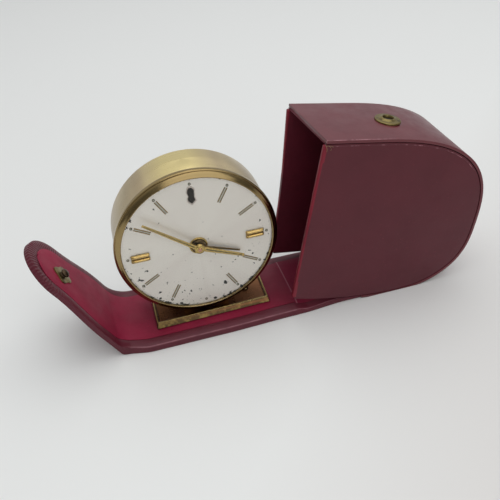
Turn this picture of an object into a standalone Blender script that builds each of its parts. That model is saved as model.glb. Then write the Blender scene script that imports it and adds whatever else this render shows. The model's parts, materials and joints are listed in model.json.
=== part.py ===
"""Travel alarm clock in its leather case, opened out.

The frame is in metres. X runs along the base from the flap to the hood, Y runs to the back and Z up.
The origin lies on the underside of the base, straight below the middle of the clock.
"""

import math

import bmesh
import bpy
from mathutils import Matrix, Vector

MM = 0.001
CLEARANCE = 0.3 * MM
OVERRUN = 1.0 * MM
COLLECTION_NAME = "travel_alarm_clock"

# Leather strip: base, its two creases, the strap to the hood
STRIP_WIDTH = 33.4 * MM
BASE_LEFT = -33.3 * MM
BASE_RIGHT = 33.3 * MM
BASE_BOARD_TOP = 2.9 * MM
LINING_THICKNESS = 0.5 * MM
LINING_MARGIN = 1.8 * MM
STRAP_THICKNESS = 1.6 * MM
STRAP_END = 60.0 * MM
HOOD_CREASE_X = 34.9 * MM
FLAP_CREASE_X = -34.8 * MM
FLAP_THICKNESS = 1.9 * MM
FLAP_LINING_THICKNESS = 0.6 * MM
FLAP_LINING_MARGIN = 2.0 * MM
FLAP_ANGLE = math.radians(62.0)
FLAP_LENGTH = 51.0 * MM
FLAP_STRAIGHT = 14.0 * MM
FLAP_TIP_RADIUS = 13.0 * MM
ARC_STEPS = 8

# Hood: two boards with an outline of straight sides and a round end, and a band between them
HOOD_HEIGHT = 66.48 * MM
HOOD_STRAIGHT = 19.0 * MM
HOOD_ROUND = 51.0 * MM
HOOD_ROUND_POWER = 2.75
HOOD_STEPS = 26
HOOD_BOARD = 1.6 * MM
HOOD_SEAM = 0.15 * MM
HOOD_LEATHER = 0.8 * MM
HOOD_BAND_LINING = 1.0 * MM
HOOD_REST_TILT = math.radians(10.06)
HOOD_MOUTH_X = 39.93 * MM
HOOD_MOUTH_Z = 39.65 * MM
HOOD_CLOSED_GAP = 0.5 * MM
BAND_START_DEPTH = 27.5 * MM
BAND_SPLIT_DEPTH = 47.0 * MM
LINING_SET_BACK = 0.4 * MM

# Press stud
SNAP_DEPTH = 31.0 * MM
SNAP_SIDE = -1.5 * MM
SOCKET_RADIUS = 4.9 * MM
SOCKET_HEIGHT = 1.3 * MM
SOCKET_BORE = 2.2 * MM
SOCKET_TUBE_WALL = 0.3 * MM
EYELET_RADIUS = 4.3 * MM
EYELET_THICKNESS = 0.4 * MM
STUD_FLANGE = 3.6 * MM
STUD_FLANGE_THICKNESS = 0.35 * MM
STUD_NECK = 1.1 * MM
STUD_BALL = 1.75 * MM
STUD_CAP_RADIUS = 4.6 * MM
STUD_CAP_HEIGHT = 0.9 * MM
STUD_DISTANCE = 34.3 * MM

# Brass cradle under the clock
CRADLE_LEFT = -20.5 * MM
CRADLE_RIGHT = 25.3 * MM
CRADLE_HALF_DEPTH = 10.1 * MM
CRADLE_FLOOR = 0.9 * MM
CRADLE_RIM_HEIGHT = 2.0 * MM
CRADLE_RIM_WIDTH = 0.9 * MM
CRADLE_BEAD_RADIUS = 1.15 * MM
SADDLE_HALF_WIDTH = 9.0 * MM
SADDLE_FRONT = 4.6 * MM
SADDLE_BACK = 9.0 * MM
SADDLE_HEIGHT = 4.0 * MM
SADDLE_METAL = 2.7 * MM
RIVET_SPREAD = 14.5 * MM
RIVET_HEAD = 1.7 * MM
RIVET_HEAD_HEIGHT = 0.6 * MM
RIVET_SHANK = 0.8 * MM
RIVET_DEPTH = 0.8 * MM

# Clock: heights are measured from its middle plane towards the front
CASE_RADIUS = 29.7 * MM
CASE_WALL = 0.8 * MM
CASE_BORE = CASE_RADIUS - CASE_WALL
CASE_FRONT = 5.0 * MM
CASE_BACK = -10.9 * MM
CASE_FLANGE = 0.7 * MM
BEZEL_OVERHANG = 0.3 * MM
BEZEL_WIDTH = 2.65 * MM
BEZEL_RADIUS = CASE_RADIUS + BEZEL_OVERHANG
BEZEL_LIP = BEZEL_RADIUS - BEZEL_WIDTH
BEZEL_LIP_DEPTH = 0.45 * MM
BEZEL_RISE = 1.0 * MM
BEZEL_CREST_INNER, BEZEL_CREST_OUTER, BEZEL_SHOULDER, BEZEL_FOOT_WIDTH = 0.3, 0.6, 0.88, 0.15
BEZEL_SHOULDER_FALL, BEZEL_SIDE_FALL, BEZEL_FOOT_CHAMFER = 0.7, 1.8, 0.6
BEZEL_SKIRT = 0.4 * MM
BEZEL_SKIRT_END = 3.5 * MM
DIAL_FRONT = 8.2 * MM
DIAL_THICKNESS = 0.4 * MM
DIAL_RADIUS = CASE_BORE - BEZEL_SKIRT - 2 * CLEARANCE
DIAL_HOLE = 2.5 * MM
CRYSTAL_WALL = 0.5 * MM
CRYSTAL_RISE = 3.4 * MM
CRYSTAL_RIM = 0.7 * MM
CRYSTAL_RINGS = 6
CRYSTAL_EDGE_POWER = 3.0
CRYSTAL_CROWN_POWER = 2.4
ROUND_STEPS = 48
SMALL_STEPS = 12
MARKER_INSET = 3.1 * MM
MARKER_LENGTH = 6.9 * MM
MARKER_OUTER = DIAL_RADIUS - MARKER_INSET
MARKER_INNER = MARKER_OUTER - MARKER_LENGTH
MARKER_WIDTH = 3.0 * MM
MARKER_HEIGHT = 0.7 * MM
COVER_THICKNESS = 0.8 * MM

# Movement plates and the free space between them. The wheels fill the back plate, so their
# sizes count in units of which the plate's radius holds a whole number.
FRONT_PLATE_TOP = 4.7 * MM
PLATE_THICKNESS = 0.8 * MM
BACK_PLATE_TOP = -5.8 * MM
PLATE_STEP = 1.1 * MM
FRONT_PLATE_RADIUS = CASE_BORE - BEZEL_SKIRT - 2 * CLEARANCE
BACK_PLATE_RADIUS = FRONT_PLATE_RADIUS - PLATE_STEP
PILLAR_RADIUS = 1.2 * MM
PILLAR_INSET = 2.8 * MM
PILLAR_CIRCLE = BACK_PLATE_RADIUS - PILLAR_INSET
PILLAR_ANGLES = [math.radians(200), math.radians(-35), math.radians(25)]
PLATE_UNITS = 67
UNIT = BACK_PLATE_RADIUS / PLATE_UNITS
ARBOR = 1.25 * UNIT
KEY_ARBOR = 2.25 * UNIT

# Motion work under the dial: three levels of thin wheels
LEVEL_THICKNESS = 0.5 * MM
LEVEL_STEP = 0.8 * MM
MOTION_MODULE = 0.625 * UNIT
MOTION_PINION_MODULE = 0.6 * UNIT
CANNON_TEETH = 12
MINUTE_WHEEL_TEETH = 36
MINUTE_PINION_TEETH = 10
HOUR_WHEEL_TEETH = 40
MINUTE_WHEEL_ANGLE = math.radians(-90)
ALARM_SET_MODULE = 1.25 * UNIT
ALARM_SET_TEETH = 36
ALARM_SET_PINION_TEETH = 12
ALARM_SET_ANGLE = math.radians(100)
CANNON_TUBE = 2.375 * UNIT
HOUR_PIPE_BORE = 1.25 * MM
HOUR_PIPE_WALL = 0.35 * MM
ALARM_PIPE_BORE = 1.9 * MM
ALARM_PIPE_WALL = 0.3 * MM
PIPE_STEPS = 20

# Hands
HAND_THICKNESS = 0.22 * MM
ALARM_HAND_GAP = 0.7 * MM
HOUR_HAND_GAP = 1.3 * MM
MINUTE_HAND_GAP = 1.95 * MM
MINUTE_HAND_INSET = 4.0 * MM
HOUR_HAND_INSET = 10.3 * MM
ALARM_HAND_INSET = 11.9 * MM
MINUTE_HAND_LENGTH = DIAL_RADIUS - MINUTE_HAND_INSET
HOUR_HAND_LENGTH = DIAL_RADIUS - HOUR_HAND_INSET
ALARM_HAND_LENGTH = DIAL_RADIUS - ALARM_HAND_INSET
MINUTE_HAND_WIDTH = 1.5 * MM
HOUR_HAND_WIDTH = 2.4 * MM
ALARM_HAND_WIDTH = 0.9 * MM
HAND_TAPER_SHARE = 0.7
MINUTE_HAND_ANGLE = math.radians(-51.1)
HOUR_HAND_ANGLE = math.radians(114.3)
ALARM_HAND_ANGLE = math.radians(110.6)
MINUTE_BOSS = 1.7 * MM
HOUR_BOSS = 2.2 * MM
ALARM_BOSS = 2.6 * MM
CAP_RADIUS = 1.3 * MM
CAP_HEIGHT = 0.6 * MM

# Going train: module and teeth of each wheel with the pinion that it drives
BARREL_MODULE = 1.5 * UNIT
BARREL_TEETH = 36
CENTRE_PINION_TEETH = 6
CENTRE_MODULE = 1.125 * UNIT
CENTRE_TEETH = 48
THIRD_PINION_TEETH = 6
THIRD_MODULE = 1.0 * UNIT
THIRD_TEETH = 45
FOURTH_PINION_TEETH = 6
FOURTH_MODULE = 0.875 * UNIT
FOURTH_TEETH = 48
ESCAPE_PINION_TEETH = 6
ESCAPE_TEETH = 15
ESCAPE_RADIUS = 13.5 * UNIT
ESCAPE_TOOTH = 2.75 * UNIT
ESCAPE_HALF_RIM_SHARE = 0.62
BARREL_ANGLE = math.radians(225)
THIRD_ANGLE = math.radians(45)
FOURTH_ANGLE = math.radians(-60)
ESCAPE_ANGLE = math.radians(-100)
PALLET_ANGLE = math.radians(-150)
BALANCE_ANGLE = math.radians(-80)
PALLET_REACH = 9.0 * UNIT
PALLET_SPREAD = math.radians(50)
PALLET_FLANK = math.radians(72)
FORK_SPREAD = math.radians(5)
PALLET_DISTANCE = 19.0 * UNIT
PALLET_WIDTH = 2.25 * UNIT
FORK_LENGTH = 14.0 * UNIT
BALANCE_DISTANCE = 17.5 * UNIT
BALANCE_RADIUS = 13.0 * UNIT
BALANCE_RIM = 2.0 * UNIT
BALANCE_ARM = 2.25 * UNIT
WHEEL_THICKNESS = 0.6 * MM
PINION_THICKNESS = 1.2 * MM
HAIRSPRING_TURNS = 4
HAIRSPRING_INNER = 2.5 * UNIT
HAIRSPRING_OUTER = 8.5 * UNIT
HAIRSPRING_WIRE = 0.07 * MM
SPRING_POINTS_A_TURN = 12

# Spring barrels
BARREL_FLANGE = 1.0 * MM
BARREL_BODY_RADIUS = 23.25 * UNIT
BARREL_DEPTH = 4.6 * MM
BARREL_WALL = 0.5 * MM
BARREL_BORE = 3.0 * UNIT
MAINSPRING_TURNS = 5
MAINSPRING_INNER = 6.0 * UNIT
MAINSPRING_OUTER = 19.75 * UNIT
MAINSPRING_WIRE = 0.25 * MM
ALARM_BARREL_MODULE = 1.0 * UNIT
ALARM_BARREL_TEETH = 36
ALARM_PINION_TEETH = 6
ALARM_BARREL_BODY = 15.75 * UNIT
ALARM_BARREL_X = -32.5 * UNIT
ALARM_BARREL_Y = 27.5 * UNIT
ALARM_WHEEL_ANGLE = math.radians(55)
ALARM_WHEEL_TEETH = 12
ALARM_WHEEL_RADIUS = 10.5 * UNIT
HAMMER_DISTANCE = 16.5 * UNIT
HAMMER_ARM = 30.0 * UNIT
HAMMER_ARM_WIDTH = 2.25 * UNIT
HAMMER_ARM_ANGLE = math.radians(20)
HAMMER_HEAD = 3.5 * UNIT
HAMMER_PALLET = 4.0 * UNIT

# Heights of the train's wheels, from the clock's middle plane to the front
BARREL_WHEEL_TOP = 1.2 * MM
CENTRE_WHEEL_TOP = 3.3 * MM
THIRD_WHEEL_TOP = -1.6 * MM
FOURTH_WHEEL_TOP = -3.6 * MM
ESCAPE_WHEEL_TOP = -1.0 * MM
BALANCE_TOP = -3.2 * MM
HAIRSPRING_LEVEL = 0.6 * MM

# Keys, knobs and levers on the back
KNOB_GAP = 0.4 * MM
SET_KNOB_RADIUS = 7.5 * UNIT
ALARM_KNOB_RADIUS = 6.25 * UNIT
KNOB_HEIGHT = 2.3 * MM
KNOB_FLUTES = 18
KNOB_FLUTE_DEPTH = 0.2 * MM
KEY_HUB_RADIUS = 4.5 * UNIT
KEY_HUB_HEIGHT = 0.6 * MM
KEY_WING_SPAN = 25.0 * UNIT
ALARM_KEY_WING_SPAN = 20.0 * UNIT
KEY_WING_HEIGHT = 2.2 * MM
KEY_WING_THICKNESS = 1.0 * MM
BUTTON_X = 40.0 * UNIT
BUTTON_Y = 22.5 * UNIT
BUTTON_RADIUS = 1.3 * MM
BUTTON_COLLAR = 1.9 * MM
BUTTON_COLLAR_HEIGHT = 0.5 * MM
BUTTON_STAND = 2.1 * MM
REGULATOR_LENGTH = 12.5 * UNIT
REGULATOR_RING = 4.5 * UNIT
REGULATOR_ARM = 1.1 * MM
REGULATOR_THICKNESS = 0.4 * MM
REGULATOR_PIN = 0.5 * MM
REGULATOR_STAND = 0.6 * MM
REGULATOR_SLOT = 11.5 * UNIT

# Teeth: heights as shares of the module, widths as shares of the pitch
TOOTH_ADDENDUM_SHARE = 0.75
TOOTH_DEDENDUM_SHARE = 1.15
TOOTH_ROOT_SHARE = 0.52
TOOTH_TIP_SHARE = 0.16
LEAF_ADDENDUM_SHARE = 0.6
LEAF_DEDENDUM_SHARE = 1.3
LEAF_ROOT_SHARE = 0.62
LEAF_TIP_SHARE = 0.22

# Sizes worked out from the ones above
LINING_TOP = BASE_BOARD_TOP + CLEARANCE + LINING_THICKNESS
STRAP_AXIS_Z = STRAP_THICKNESS / 2
FLAP_AXIS_Z = FLAP_THICKNESS / 2
CRADLE_BOTTOM = LINING_TOP + CLEARANCE
SPACE_FRONT = FRONT_PLATE_TOP - PLATE_THICKNESS - CLEARANCE
SPACE_BACK = BACK_PLATE_TOP + CLEARANCE
BACK_PLATE_BOTTOM = BACK_PLATE_TOP - PLATE_THICKNESS
COVER_BACK = CASE_BACK + CASE_FLANGE + CLEARANCE
COVER_FRONT = COVER_BACK + COVER_THICKNESS
CLOCK_HEIGHT = CRADLE_BOTTOM + SADDLE_METAL + CLEARANCE + CASE_RADIUS
LEVELS = [FRONT_PLATE_TOP + CLEARANCE + LEVEL_STEP * n for n in range(3)]
KNOB_FRONT = COVER_BACK - KNOB_GAP
STRIP_HALF = STRIP_WIDTH / 2


def polar(distance, angle, start=(0.0, 0.0)):
    """A point at a distance and angle from a start point."""
    return (start[0] + distance * math.cos(angle), start[1] + distance * math.sin(angle))


CENTRE = (0.0, 0.0)
BARREL = polar(BARREL_MODULE * (BARREL_TEETH + CENTRE_PINION_TEETH) / 2, BARREL_ANGLE)
THIRD = polar(CENTRE_MODULE * (CENTRE_TEETH + THIRD_PINION_TEETH) / 2, THIRD_ANGLE)
FOURTH = polar(THIRD_MODULE * (THIRD_TEETH + FOURTH_PINION_TEETH) / 2, FOURTH_ANGLE, THIRD)
ESCAPE = polar(FOURTH_MODULE * (FOURTH_TEETH + ESCAPE_PINION_TEETH) / 2, ESCAPE_ANGLE, FOURTH)
PALLET = polar(PALLET_DISTANCE, PALLET_ANGLE, ESCAPE)
BALANCE = polar(BALANCE_DISTANCE, BALANCE_ANGLE, PALLET)
MINUTE_WHEEL = polar(MOTION_MODULE * (CANNON_TEETH + MINUTE_WHEEL_TEETH) / 2, MINUTE_WHEEL_ANGLE)
ALARM_SET = polar(ALARM_SET_MODULE * (ALARM_SET_TEETH + ALARM_SET_PINION_TEETH) / 2, ALARM_SET_ANGLE)
ALARM_BARREL = (ALARM_BARREL_X, ALARM_BARREL_Y)
ALARM_WHEEL = polar(
    ALARM_BARREL_MODULE * (ALARM_BARREL_TEETH + ALARM_PINION_TEETH) / 2, ALARM_WHEEL_ANGLE, ALARM_BARREL
)
HAMMER = polar(HAMMER_DISTANCE, 0.0, ALARM_WHEEL)
BUTTON = (BUTTON_X, BUTTON_Y)


def clear_scene():
    """Remove every object that the scene starts with."""
    for old in list(bpy.data.objects):
        bpy.data.objects.remove(old, do_unlink=True)


clear_scene()
PARTS = bpy.data.collections.new(COLLECTION_NAME)
CUTTERS = bpy.data.collections.new(COLLECTION_NAME + "_cutters")
bpy.context.scene.collection.children.link(PARTS)
bpy.context.scene.collection.children.link(CUTTERS)


def principled(name, color, roughness, metallic=0.0, alpha=1.0):
    """A plain material with one colour, roughness and metallic value."""
    material = bpy.data.materials.new(name)
    material.use_nodes = True
    shader = material.node_tree.nodes["Principled BSDF"]
    shader.inputs["Base Color"].default_value = (*color, 1.0)
    shader.inputs["Roughness"].default_value = roughness
    shader.inputs["Metallic"].default_value = metallic
    shader.inputs["Alpha"].default_value = alpha
    return material


FINISHES = {
    "burgundy_leather": ((0.085, 0.018, 0.026), 0.45, 0.0),
    "crimson_lining": ((0.20, 0.012, 0.028), 0.6, 0.0),
    "satin_brass": ((0.62, 0.50, 0.30), 0.35, 1.0),
    "polished_brass": ((0.80, 0.60, 0.27), 0.15, 1.0),
    "aged_brass": ((0.36, 0.26, 0.11), 0.4, 1.0),
    "silvered_dial": ((0.62, 0.60, 0.52), 0.4, 0.6),
    "clear_crystal": ((0.75, 0.80, 0.80), 0.05, 0.0, 0.25),
    "gilt_hands": ((0.78, 0.55, 0.20), 0.2, 1.0),
    "copper": ((0.60, 0.27, 0.15), 0.3, 1.0),
    "steel": ((0.45, 0.46, 0.48), 0.3, 1.0),
    "movement_brass": ((0.70, 0.52, 0.25), 0.3, 1.0),
}


def finish(obj, kind, smooth=True):
    """Give an object its own material and shade its round faces smooth."""
    color, roughness, metallic, *alpha = FINISHES[kind]
    obj.data.materials.clear()
    obj.data.materials.append(principled(obj.name + "_" + kind, color, roughness, metallic, *alpha))
    if smooth:
        obj.data.shade_smooth()
        obj.data.set_sharp_from_angle(angle=math.radians(35))
    return obj


def link(name, data, collection=None, parent=None, location=(0.0, 0.0, 0.0), rotation=(0.0, 0.0, 0.0)):
    """Put a new object in a collection at its place."""
    obj = bpy.data.objects.new(name, data)
    (collection or PARTS).objects.link(obj)
    obj.location = location
    obj.rotation_euler = rotation
    obj.parent = parent
    return obj


def empty(name, location, rotation=(0.0, 0.0, 0.0), parent=None):
    """A guide that marks a joint or carries parts."""
    return link(name, None, CUTTERS, parent, location, rotation)


def outline_mesh(name, loops, low, high):
    """A flat outline, with holes where a loop lies inside another, extruded from low to high."""
    curve = bpy.data.curves.new(name, "CURVE")
    curve.dimensions = "2D"
    curve.fill_mode = "BOTH"
    curve.extrude = (high - low) / 2
    for loop in loops:
        spline = curve.splines.new("POLY")
        spline.points.add(len(loop) - 1)
        for point, place in zip(spline.points, loop):
            point.co = (place[0], place[1], 0.0, 1.0)
        spline.use_cyclic_u = True
    holder = link(name + "_outline", curve)
    bpy.context.view_layer.update()
    mesh = bpy.data.meshes.new_from_object(holder.evaluated_get(bpy.context.evaluated_depsgraph_get()))
    bpy.data.objects.remove(holder)
    bpy.data.curves.remove(curve)
    mesh.transform(Matrix.Translation((0.0, 0.0, (low + high) / 2)))
    return weld(mesh, name)


def weld(mesh, name):
    """Join the doubled points of a mesh and name it."""
    work = bmesh.new()
    work.from_mesh(mesh)
    bmesh.ops.remove_doubles(work, verts=work.verts, dist=CLEARANCE / 1000)
    bmesh.ops.recalc_face_normals(work, faces=work.faces)
    work.to_mesh(mesh)
    work.free()
    mesh.name = name
    return mesh


def turned_mesh(name, profile, steps=ROUND_STEPS, closed=True):
    """A profile of (radius, height) points turned about the Z axis."""
    work = bmesh.new()
    points = [work.verts.new((radius, 0.0, height)) for radius, height in profile]
    for first, second in zip(points, points[1:]):
        work.edges.new((first, second))
    if closed:
        work.edges.new((points[-1], points[0]))
    mesh = bpy.data.meshes.new(name)
    work.to_mesh(mesh)
    work.free()
    holder = link(name + "_profile", mesh)
    screw = holder.modifiers.new("Turn", "SCREW")
    screw.steps = steps
    screw.render_steps = steps
    screw.use_merge_vertices = True
    screw.merge_threshold = CLEARANCE / 1000
    bpy.context.view_layer.update()
    result = bpy.data.meshes.new_from_object(holder.evaluated_get(bpy.context.evaluated_depsgraph_get()))
    bpy.data.objects.remove(holder)
    return weld(result, name)


def circle(radius, steps=SMALL_STEPS, centre=(0.0, 0.0), start=0.0):
    """Points round a circle."""
    return [polar(radius, start + 2 * math.pi * n / steps, centre) for n in range(steps)]


def ring_mesh(name, outer, bore, low, high, steps=SMALL_STEPS):
    """A flat ring or a tube from low to high."""
    return outline_mesh(name, [circle(outer, steps), circle(bore, steps)], low, high)


def rod_mesh(name, radius, low, high, steps=SMALL_STEPS):
    """A plain rod from low to high."""
    return outline_mesh(name, [circle(radius, steps)], low, high)


def box_mesh(name, low, high):
    """A box between two corners."""
    work = bmesh.new()
    bmesh.ops.create_cube(work, size=1.0)
    mesh = bpy.data.meshes.new(name)
    work.to_mesh(mesh)
    work.free()
    size = [top - bottom for bottom, top in zip(low, high)]
    middle = [(top + bottom) / 2 for bottom, top in zip(low, high)]
    mesh.transform(Matrix.Translation(middle) @ Matrix.Diagonal((*size, 1.0)))
    return mesh


def joined(mesh, operation, others):
    """A mesh after Boolean unions with, or cuts by, other meshes."""
    holder = link(mesh.name + "_work", mesh)
    helpers = []
    for other in others:
        helper = link(mesh.name + "_tool", other, CUTTERS)
        helper.hide_render = True
        helper.display_type = "WIRE"
        step = holder.modifiers.new(operation, "BOOLEAN")
        step.operation = operation
        step.solver = "EXACT"
        step.object = helper
        helpers.append(helper)
    bpy.context.view_layer.update()
    result = bpy.data.meshes.new_from_object(holder.evaluated_get(bpy.context.evaluated_depsgraph_get()))
    name = mesh.name
    for leftover in [holder, *helpers]:
        bpy.data.objects.remove(leftover)
    return weld(result, name)


def united(mesh, *others):
    """The Boolean union of meshes."""
    return joined(mesh, "UNION", others)


def cut(mesh, *others):
    """A mesh with others cut out of it."""
    return joined(mesh, "DIFFERENCE", others)


def bevel(obj, width, segments=2, angle=math.radians(40)):
    """Round an object's edges."""
    rounding = obj.modifiers.new("Rounded edges", "BEVEL")
    rounding.width = width
    rounding.segments = segments
    rounding.limit_method = "ANGLE"
    rounding.angle_limit = angle
    return obj


def gear_loop(teeth, module, phase, addendum, dedendum, root, tip):
    """The outline of a toothed wheel, with the middle of one tooth at the phase angle."""
    pitch_radius = module * teeth / 2
    half_pitch = math.pi / teeth
    corners = [
        (pitch_radius - dedendum * module, -root * half_pitch),
        (pitch_radius + addendum * module, -tip * half_pitch),
        (pitch_radius + addendum * module, tip * half_pitch),
        (pitch_radius - dedendum * module, root * half_pitch),
    ]
    loop = []
    for n in range(teeth):
        middle = phase + 2 * half_pitch * n
        loop += [polar(radius, middle + turn) for radius, turn in corners]
    return loop


def wheel_loop(teeth, module, phase=0.0):
    """Teeth of a driving wheel."""
    return gear_loop(
        teeth, module, phase, TOOTH_ADDENDUM_SHARE, TOOTH_DEDENDUM_SHARE, TOOTH_ROOT_SHARE, TOOTH_TIP_SHARE
    )


def pinion_loop(teeth, module, phase=0.0):
    """Leaves of a small pinion."""
    return gear_loop(
        teeth, module, phase, LEAF_ADDENDUM_SHARE, LEAF_DEDENDUM_SHARE, LEAF_ROOT_SHARE, LEAF_TIP_SHARE
    )


def facing(teeth, angle):
    """The phase that turns a gap between teeth back towards a tooth that points along the angle."""
    return angle + math.pi + math.pi / teeth


def spiral_mesh(name, inner, outer, turns, wire, level):
    """A flat spiral of round wire in one unbroken tube."""
    curve = bpy.data.curves.new(name, "CURVE")
    curve.dimensions = "3D"
    curve.bevel_depth = wire
    curve.bevel_resolution = 0
    curve.use_fill_caps = True
    count = turns * SPRING_POINTS_A_TURN + 1
    spline = curve.splines.new("POLY")
    spline.points.add(count - 1)
    for n, point in enumerate(spline.points):
        share = n / (count - 1)
        place = polar(inner + (outer - inner) * share, 2 * math.pi * turns * share)
        point.co = (*place, level, 1.0)
    holder = link(name + "_wire", curve)
    bpy.context.view_layer.update()
    mesh = bpy.data.meshes.new_from_object(holder.evaluated_get(bpy.context.evaluated_depsgraph_get()))
    bpy.data.objects.remove(holder)
    return weld(mesh, name)


UPRIGHT = (math.radians(90), 0.0, 0.0)


def hood_edge(share, offset):
    """A point of the hood's outline, and of curves beside it; the share runs from -1 to 1."""
    half = HOOD_HEIGHT / 2
    reach = HOOD_STRAIGHT + HOOD_ROUND

    def plain(value):
        """The bare outline: depth into the hood and height above its middle."""
        side = math.copysign(1.0, value)
        angle = (1.0 - abs(value)) * math.pi / 2
        power = 2.0 / HOOD_ROUND_POWER
        depth = HOOD_STRAIGHT + HOOD_ROUND * math.cos(math.pi / 2 - angle) ** power
        return Vector((depth, side * half * math.sin(math.pi / 2 - angle) ** power))

    if abs(share) >= 1.0:
        side = math.copysign(1.0, share)
        return Vector((HOOD_STRAIGHT, side * (half + offset)))
    here = plain(share)
    nudge = 1.0 / (HOOD_STEPS * 50)
    along = plain(min(share + nudge, 1.0)) - plain(max(share - nudge, -1.0))
    normal = Vector((along.y, -along.x)).normalized()
    if abs(share) < nudge * 2:
        normal = Vector((1.0, 0.0))
    return here + normal * min(offset, reach)


def hood_side(offset, low_depth, high_depth):
    """Points along the hood's outline from a depth on its lower side to a depth on its upper side."""
    shares = [-1.0 + 2.0 * n / HOOD_STEPS for n in range(HOOD_STEPS + 1)]
    points = []
    low_half = [share for share in shares if share <= 0]
    high_half = [share for share in shares if share > 0]
    if low_depth is not None:
        points += trimmed([hood_edge(share, offset) for share in reversed(low_half)], low_depth)[::-1]
    if high_depth is not None:
        points += trimmed([hood_edge(share, offset) for share in high_half], high_depth)
    return points


def trimmed(points, depth):
    """The run of points from the round end to a depth, ended exactly there."""
    kept = []
    for point in points:
        if point.x > depth:
            kept.append(point)
            continue
        if kept:
            last = kept[-1]
            share = (last.x - depth) / (last.x - point.x)
            kept.append(last.lerp(point, share))
        return kept
    kept.append(Vector((depth, points[-1].y)))
    return kept


def upper_run(offset, start_depth, end_depth):
    """Points along the hood's upper side, from a deep place to one near the mouth."""
    whole = hood_side(offset, None, end_depth)
    run = [point for point in whole if point.x < start_depth]
    before = [point for point in whole if point.x >= start_depth][-1]
    share = (before.x - start_depth) / (before.x - run[0].x)
    return [before.lerp(run[0], share), *run]


def strip_loop(outer, inner):
    """The closed outline of a thin band between two runs of points."""
    return [tuple(point) for point in outer] + [tuple(point) for point in reversed(inner)]


HOOD_MIDDLE_SQUARED = Vector(
    (
        HOOD_CREASE_X + LINING_TOP + HOOD_CLOSED_GAP - STRAP_AXIS_Z,
        STRAP_THICKNESS + CLEARANCE + HOOD_HEIGHT / 2,
    )
)


def hood_pivot_place():
    """Where the strap's slack lets the hood turn: the point that keeps still from rest to squared up."""
    rest = Vector((HOOD_MOUTH_X, HOOD_MOUTH_Z))
    shift = HOOD_MIDDLE_SQUARED - rest
    across = Vector((-shift.y, shift.x)) / (2 * math.tan(HOOD_REST_TILT / 2))
    return (rest + HOOD_MIDDLE_SQUARED) / 2 + across


def surface_at_snap():
    """The hood's upper surface where the press stud sits, and its slope."""
    run = upper_run(HOOD_SEAM + HOOD_LEATHER, SNAP_DEPTH + OVERRUN, SNAP_DEPTH - OVERRUN)
    before = [point for point in run if point.x >= SNAP_DEPTH][-1]
    after = [point for point in run if point.x < SNAP_DEPTH][0]
    share = (before.x - SNAP_DEPTH) / (before.x - after.x)
    slope = math.atan2(after.y - before.y, before.x - after.x)
    return before.lerp(after, share), slope


def make_base():
    """The board that carries the clock, with a thin leather tongue at each crease, and its lining."""
    left = [
        (
            FLAP_CREASE_X + FLAP_AXIS_Z * math.cos(math.radians(90) + math.pi * n / ARC_STEPS),
            FLAP_AXIS_Z + FLAP_AXIS_Z * math.sin(math.radians(90) + math.pi * n / ARC_STEPS),
        )
        for n in range(ARC_STEPS + 1)
    ]
    right = [
        (
            HOOD_CREASE_X + STRAP_AXIS_Z * math.cos(math.radians(-90) + math.pi * n / ARC_STEPS),
            STRAP_AXIS_Z + STRAP_AXIS_Z * math.sin(math.radians(-90) + math.pi * n / ARC_STEPS),
        )
        for n in range(ARC_STEPS + 1)
    ]
    step_right = [(BASE_RIGHT, STRAP_THICKNESS), (BASE_RIGHT, BASE_BOARD_TOP)]
    step_left = [(BASE_LEFT, BASE_BOARD_TOP), (BASE_LEFT, FLAP_THICKNESS)]
    mesh = outline_mesh("base_panel", [left + right + step_right + step_left], -STRIP_HALF, STRIP_HALF)
    mesh.transform(Matrix.Rotation(math.radians(90), 4, "X"))
    shanks = [rivet_hole(x, BASE_BOARD_TOP + OVERRUN) for x in rivet_places()]
    finish(link("base_panel", cut(mesh, *shanks)), "burgundy_leather")
    low = (BASE_LEFT + LINING_MARGIN, -STRIP_HALF + LINING_MARGIN, BASE_BOARD_TOP + CLEARANCE)
    high = (BASE_RIGHT, STRIP_HALF - LINING_MARGIN, LINING_TOP)
    lining = box_mesh("base_lining", low, high)
    shanks = [rivet_hole(x, LINING_TOP + OVERRUN) for x in rivet_places()]
    finish(link("base_lining", cut(lining, *shanks)), "crimson_lining", smooth=False)


def rivet_places():
    """The two rivets stand at equal distances from the middle of the cradle."""
    middle = (CRADLE_LEFT + CRADLE_RIGHT) / 2
    return [middle - RIVET_SPREAD, middle + RIVET_SPREAD]


def rivet_hole(x, top):
    """A cutter for a rivet's shank, down to the depth that the rivet reaches."""
    mesh = rod_mesh("rivet_hole", RIVET_SHANK + CLEARANCE, RIVET_DEPTH - CLEARANCE, top)
    mesh.transform(Matrix.Translation((x, 0.0, 0.0)))
    return mesh


def make_strap():
    """The soft strap from the base's crease to the foot of the hood."""
    start = HOOD_CREASE_X + STRAP_AXIS_Z + CLEARANCE
    mesh = box_mesh("link_strap", (start, -STRIP_HALF, 0.0), (STRAP_END, STRIP_HALF, STRAP_THICKNESS))
    mesh.transform(Matrix.Translation((-HOOD_CREASE_X, 0.0, -STRAP_AXIS_Z)))
    strap = link("link_strap", mesh, location=(HOOD_CREASE_X, 0.0, STRAP_AXIS_Z))
    finish(strap, "burgundy_leather", smooth=False)


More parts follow.
